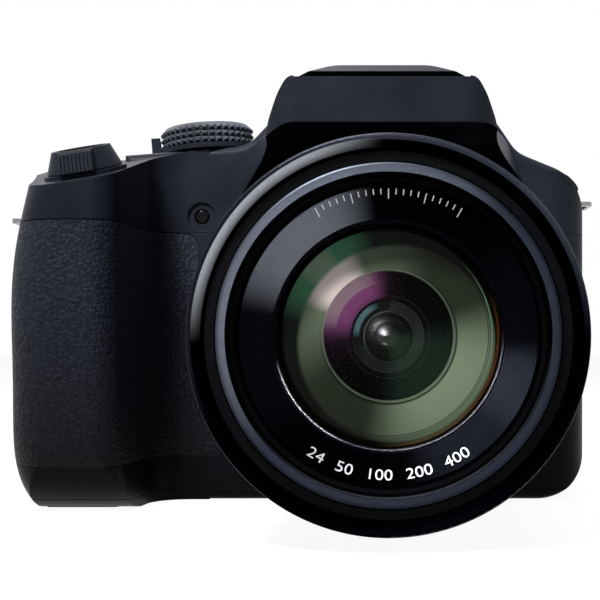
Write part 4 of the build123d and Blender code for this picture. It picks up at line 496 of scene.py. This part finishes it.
finishes = {
    "grip_rubber": rubber,
    "thumb_rest": soft,
    "eyecup": soft,
    "barrel_seal": soft,
    "fixed_barrel": lens,
    "barrel_trim_ring": trim,
    "zoom_stage_1": lens,
    "zoom_stage_2": lip,
    "dress_ring": matt,
    "retaining_ring": retainer,
    "mode_dial": dial,
    "cam_barrel": matt,
    "variator_carriage": matt,
    "iris_housing": matt,
    "lens_mount_plate": steel,
    "guide_rods": steel,
    "zoom_motor": steel,
    "inner_frame": steel,
    "hot_shoe": steel,
    "strap_lugs": steel,
    "screws": steel,
    "tripod_socket": brass,
    "main_board": board,
    "sensor_block": display,
    "lcd_panel": display,
    "lcd_window": screen,
    "viewfinder_tube": inner,
    "battery": inner,
    "battery_holder": inner,
    "memory_card": inner,
    "flash_capacitor": inner,
    "eyepiece_lens": clear,
    "af_lamp_lens": screen,
    "flash_window": clear,
    "front_element": front_glass,
    "variator_glass": inner_glass,
    "relay_glass": relay_glass,
    "focus_group": inner_glass,
}
for name, piece in nodes.items():
    piece.data.materials.clear()
    piece.data.materials.append(finishes.get(name, body))
    piece.data.polygons.foreach_set("use_smooth", [True] * len(piece.data.polygons))
    piece.data.set_sharp_from_angle(angle=CAD_SHARP)
    piece.modifiers.new("flat_faces", "WEIGHTED_NORMAL").keep_sharp = True

# Dress ring: the cone round the front glass, with its fine turned ridges
ridges = []
for number in range(2 * CONE_RIDGES + 1):
    share = number / (2 * CONE_RIDGES)
    radius = CONE_OUTER[0] + (CONE_INNER[0] - CONE_OUTER[0]) * share
    forward = CONE_OUTER[1] + (CONE_INNER[1] - CONE_OUTER[1]) * share
    ridges.append((radius, forward - CONE_RIDGE_DEPTH * (number % 2)))
ridges += [(radius, forward - CONE_THICKNESS) for radius, forward in (CONE_INNER, CONE_OUTER)]
dress = lathe("dress_ridges", ridges, "second_stage", cone)
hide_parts("dress_ring")

# A plain scale on the cone: numbers below, ticks above
slope = Vector((CONE_OUTER[0] - CONE_INNER[0], CONE_OUTER[1] - CONE_INNER[1])).normalized()


def cone_frame(radius, degrees, inward):
    """A placing on the cone whose X runs round it and whose Y runs inward or outward along it."""
    turn = radians(degrees)
    forward = CONE_INNER[1] + (radius - CONE_INNER[0]) * slope.y / slope.x
    outward = Vector((cos(turn) * slope.x, -slope.y, sin(turn) * slope.x))
    along = -outward if inward else outward
    around = Vector((-sin(turn), 0, cos(turn))) * (1 if inward else -1)
    placing = Matrix((around, along, around.cross(along))).transposed().to_4x4()
    placing.translation = Vector((radius * cos(turn), -forward, LENS_HEIGHT + radius * sin(turn)))
    return placing


scale_shape = bmesh.new()
advance = [DIGIT_TURN if mark.strip() else BLANK_TURN for mark in SCALE_NUMBERS]
place = SCALE_MIDDLE - sum(advance) / 2
for mark, turn in zip(SCALE_NUMBERS, advance):
    if mark.strip():
        curve = bpy.data.curves.new("digit", "FONT")
        curve.body = mark
        curve.size = SCALE_SIZE
        curve.extrude = DIGIT_RELIEF
        curve.align_x = "CENTER"
        curve.align_y = "CENTER"
        digit = bpy.data.objects.new("digit", curve)
        flat = bpy.data.meshes.new_from_object(digit)
        flat.transform(cone_frame(SCALE_RADIUS, place + turn / 2, True))
        scale_shape.from_mesh(flat)
        bpy.data.objects.remove(digit)
        bpy.data.curves.remove(curve)
        bpy.data.meshes.remove(flat)
    place += turn
for number in range(TICK_COUNT):
    length = TICK_LENGTH * (1.0 if number % TICKS_PER_LONG else LONG_TICK)
    box = bmesh.ops.create_cube(scale_shape, size=1.0)
    shaping = Matrix.Diagonal((TICK_WIDTH, length, TICK_HEIGHT, 1.0))
    lift = Matrix.Translation((0, -length / 2, 0))
    placing = cone_frame(SCALE_RADIUS + TICK_LENGTH, TICK_START + TICK_STEP * number, False)
    bmesh.ops.transform(scale_shape, matrix=placing @ lift @ shaping, verts=box["verts"])
scale_mesh = bpy.data.meshes.new("lens_scale")
scale_shape.to_mesh(scale_mesh)
scale_shape.free()
scale_mesh.materials.append(letter)
lens_scale = bpy.data.objects.new("lens_scale", scale_mesh)
bpy.context.scene.collection.objects.link(lens_scale)
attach(lens_scale, "second_stage")

# Filter thread in the mouth of the second stage
thread = []
for number in range(THREAD_TURNS):
    foot = THREAD_BACK + THREAD_PITCH * number
    thread += [(THREAD_RADIUS - THREAD_GAP, foot), (THREAD_RADIUS - THREAD_DEPTH, foot + THREAD_PITCH / 2)]
thread.append((THREAD_RADIUS - THREAD_GAP, THREAD_BACK + THREAD_PITCH * THREAD_TURNS))
lathe("filter_thread_ridges", thread, "second_stage", lens, closed=False)

# Turned edges inside the lens, pale as painted highlights, and the shoulder, pale as a painted reflection
edge_highlight_grey = moulded("edge_highlight_grey", (176, 190, 182), 0.3, edge=0.0, shine=0.4)
shoulder_reflection_grey = moulded("shoulder_reflection_grey", (88, 112, 98), 0.4, edge=0.0, shine=0.4)
ring("iris_edge_outer", 0.0092, 0.0256, 0.00008, "iris", shoulder_reflection_grey)
ring("iris_edge_middle", 0.0079, 0.0256, 0.0001, "iris", edge_highlight_grey)
ring("iris_edge_inner", 0.0056, 0.0258, 0.0001, "iris", edge_highlight_grey)
shoulder = [(0.0057, 0.02545), (0.0078, 0.02545), (0.0078, 0.0256), (0.0057, 0.0256)]
lathe("iris_shoulder", shoulder, "iris", shoulder_reflection_grey, segments=144)

# Light, floor and camera
scene = bpy.context.scene
scene.view_settings.view_transform = "Standard"


def lamp(name, kind, place, target, size, power, cone_degrees):
    """A soft lamp aimed at a point."""
    data = bpy.data.lights.new(name, kind)
    data.energy = power
    if kind == "AREA":
        data.size = size
    else:
        data.shadow_soft_size = size
        data.spot_blend = 1.0
        data.spot_size = radians(cone_degrees)
    lamp_object = bpy.data.objects.new(name, data)
    scene.collection.objects.link(lamp_object)
    lamp_object.location = place
    lamp_object.rotation_euler = (Vector(target) - Vector(place)).to_track_quat("-Z", "Y").to_euler()


for settings in LAMPS:
    lamp(*settings)


def seen_white(tree, plain, strength):
    """Shows a surface or the sky as white to the camera, to gloss and to glass, and as plain otherwise."""
    path = tree.nodes.new("ShaderNodeLightPath")
    total = path.outputs["Is Camera Ray"]
    for name in ("Is Glossy Ray", "Is Transmission Ray"):
        add = tree.nodes.new("ShaderNodeMath")
        add.operation = "MAXIMUM"
        tree.links.new(total, add.inputs[0])
        tree.links.new(path.outputs[name], add.inputs[1])
        total = add.outputs[0]
    chooser = tree.nodes.new("ShaderNodeMixShader")
    tree.links.new(total, chooser.inputs[0])
    tree.links.new(plain.outputs[0], chooser.inputs[1])
    tree.links.new(strength.outputs[0], chooser.inputs[2])
    return chooser


world = bpy.data.worlds.new("studio")
scene.world = world
world.use_nodes = True
tree = world.node_tree
ground = tree.nodes["Background"]
ground.inputs["Color"].default_value = AMBIENT_COLOR
ground.inputs["Strength"].default_value = AMBIENT_STRENGTH
white = tree.nodes.new("ShaderNodeBackground")
white.inputs["Color"].default_value = WHITE
white.inputs["Strength"].default_value = 1.0
tree.links.new(seen_white(tree, ground, white).outputs[0], tree.nodes["World Output"].inputs["Surface"])

floor_mesh = bpy.data.meshes.new("floor")
corners = [(x * FLOOR_REACH, y * FLOOR_REACH, 0) for x, y in ((-1, -1), (1, -1), (1, 1), (-1, 1))]
floor_mesh.from_pydata(corners, [], [(0, 1, 2, 3)])
floor = bpy.data.objects.new("floor", floor_mesh)
scene.collection.objects.link(floor)
m = Nodes("floor_white")
m.set(Base_Color=m.mix(m.noise(3.0), *FLOOR_TONES), Roughness=0.9, Specular_IOR_Level=0.0)
glow = m.add("Emission", {"Color": WHITE, "Strength": FLOOR_GLOW})
seen = m.add("AddShader", {0: glow.outputs[0], 1: m.shader.outputs[0]})
chooser = seen_white(m.tree, m.shader, seen)
m.put(m.output.inputs["Surface"], chooser.outputs[0])
floor_mesh.materials.append(m.material)

camera_data = bpy.data.cameras.new("camera")
camera_data.lens = FOCAL_LENGTH
camera_data.sensor_width = SENSOR_WIDTH
camera_data.shift_x, camera_data.shift_y = SHIFT
camera_data.clip_start = 0.01
camera = bpy.data.objects.new("camera", camera_data)
scene.collection.objects.link(camera)
camera.location = EYE
camera.rotation_euler = (radians(90), 0, 0)
scene.camera = camera
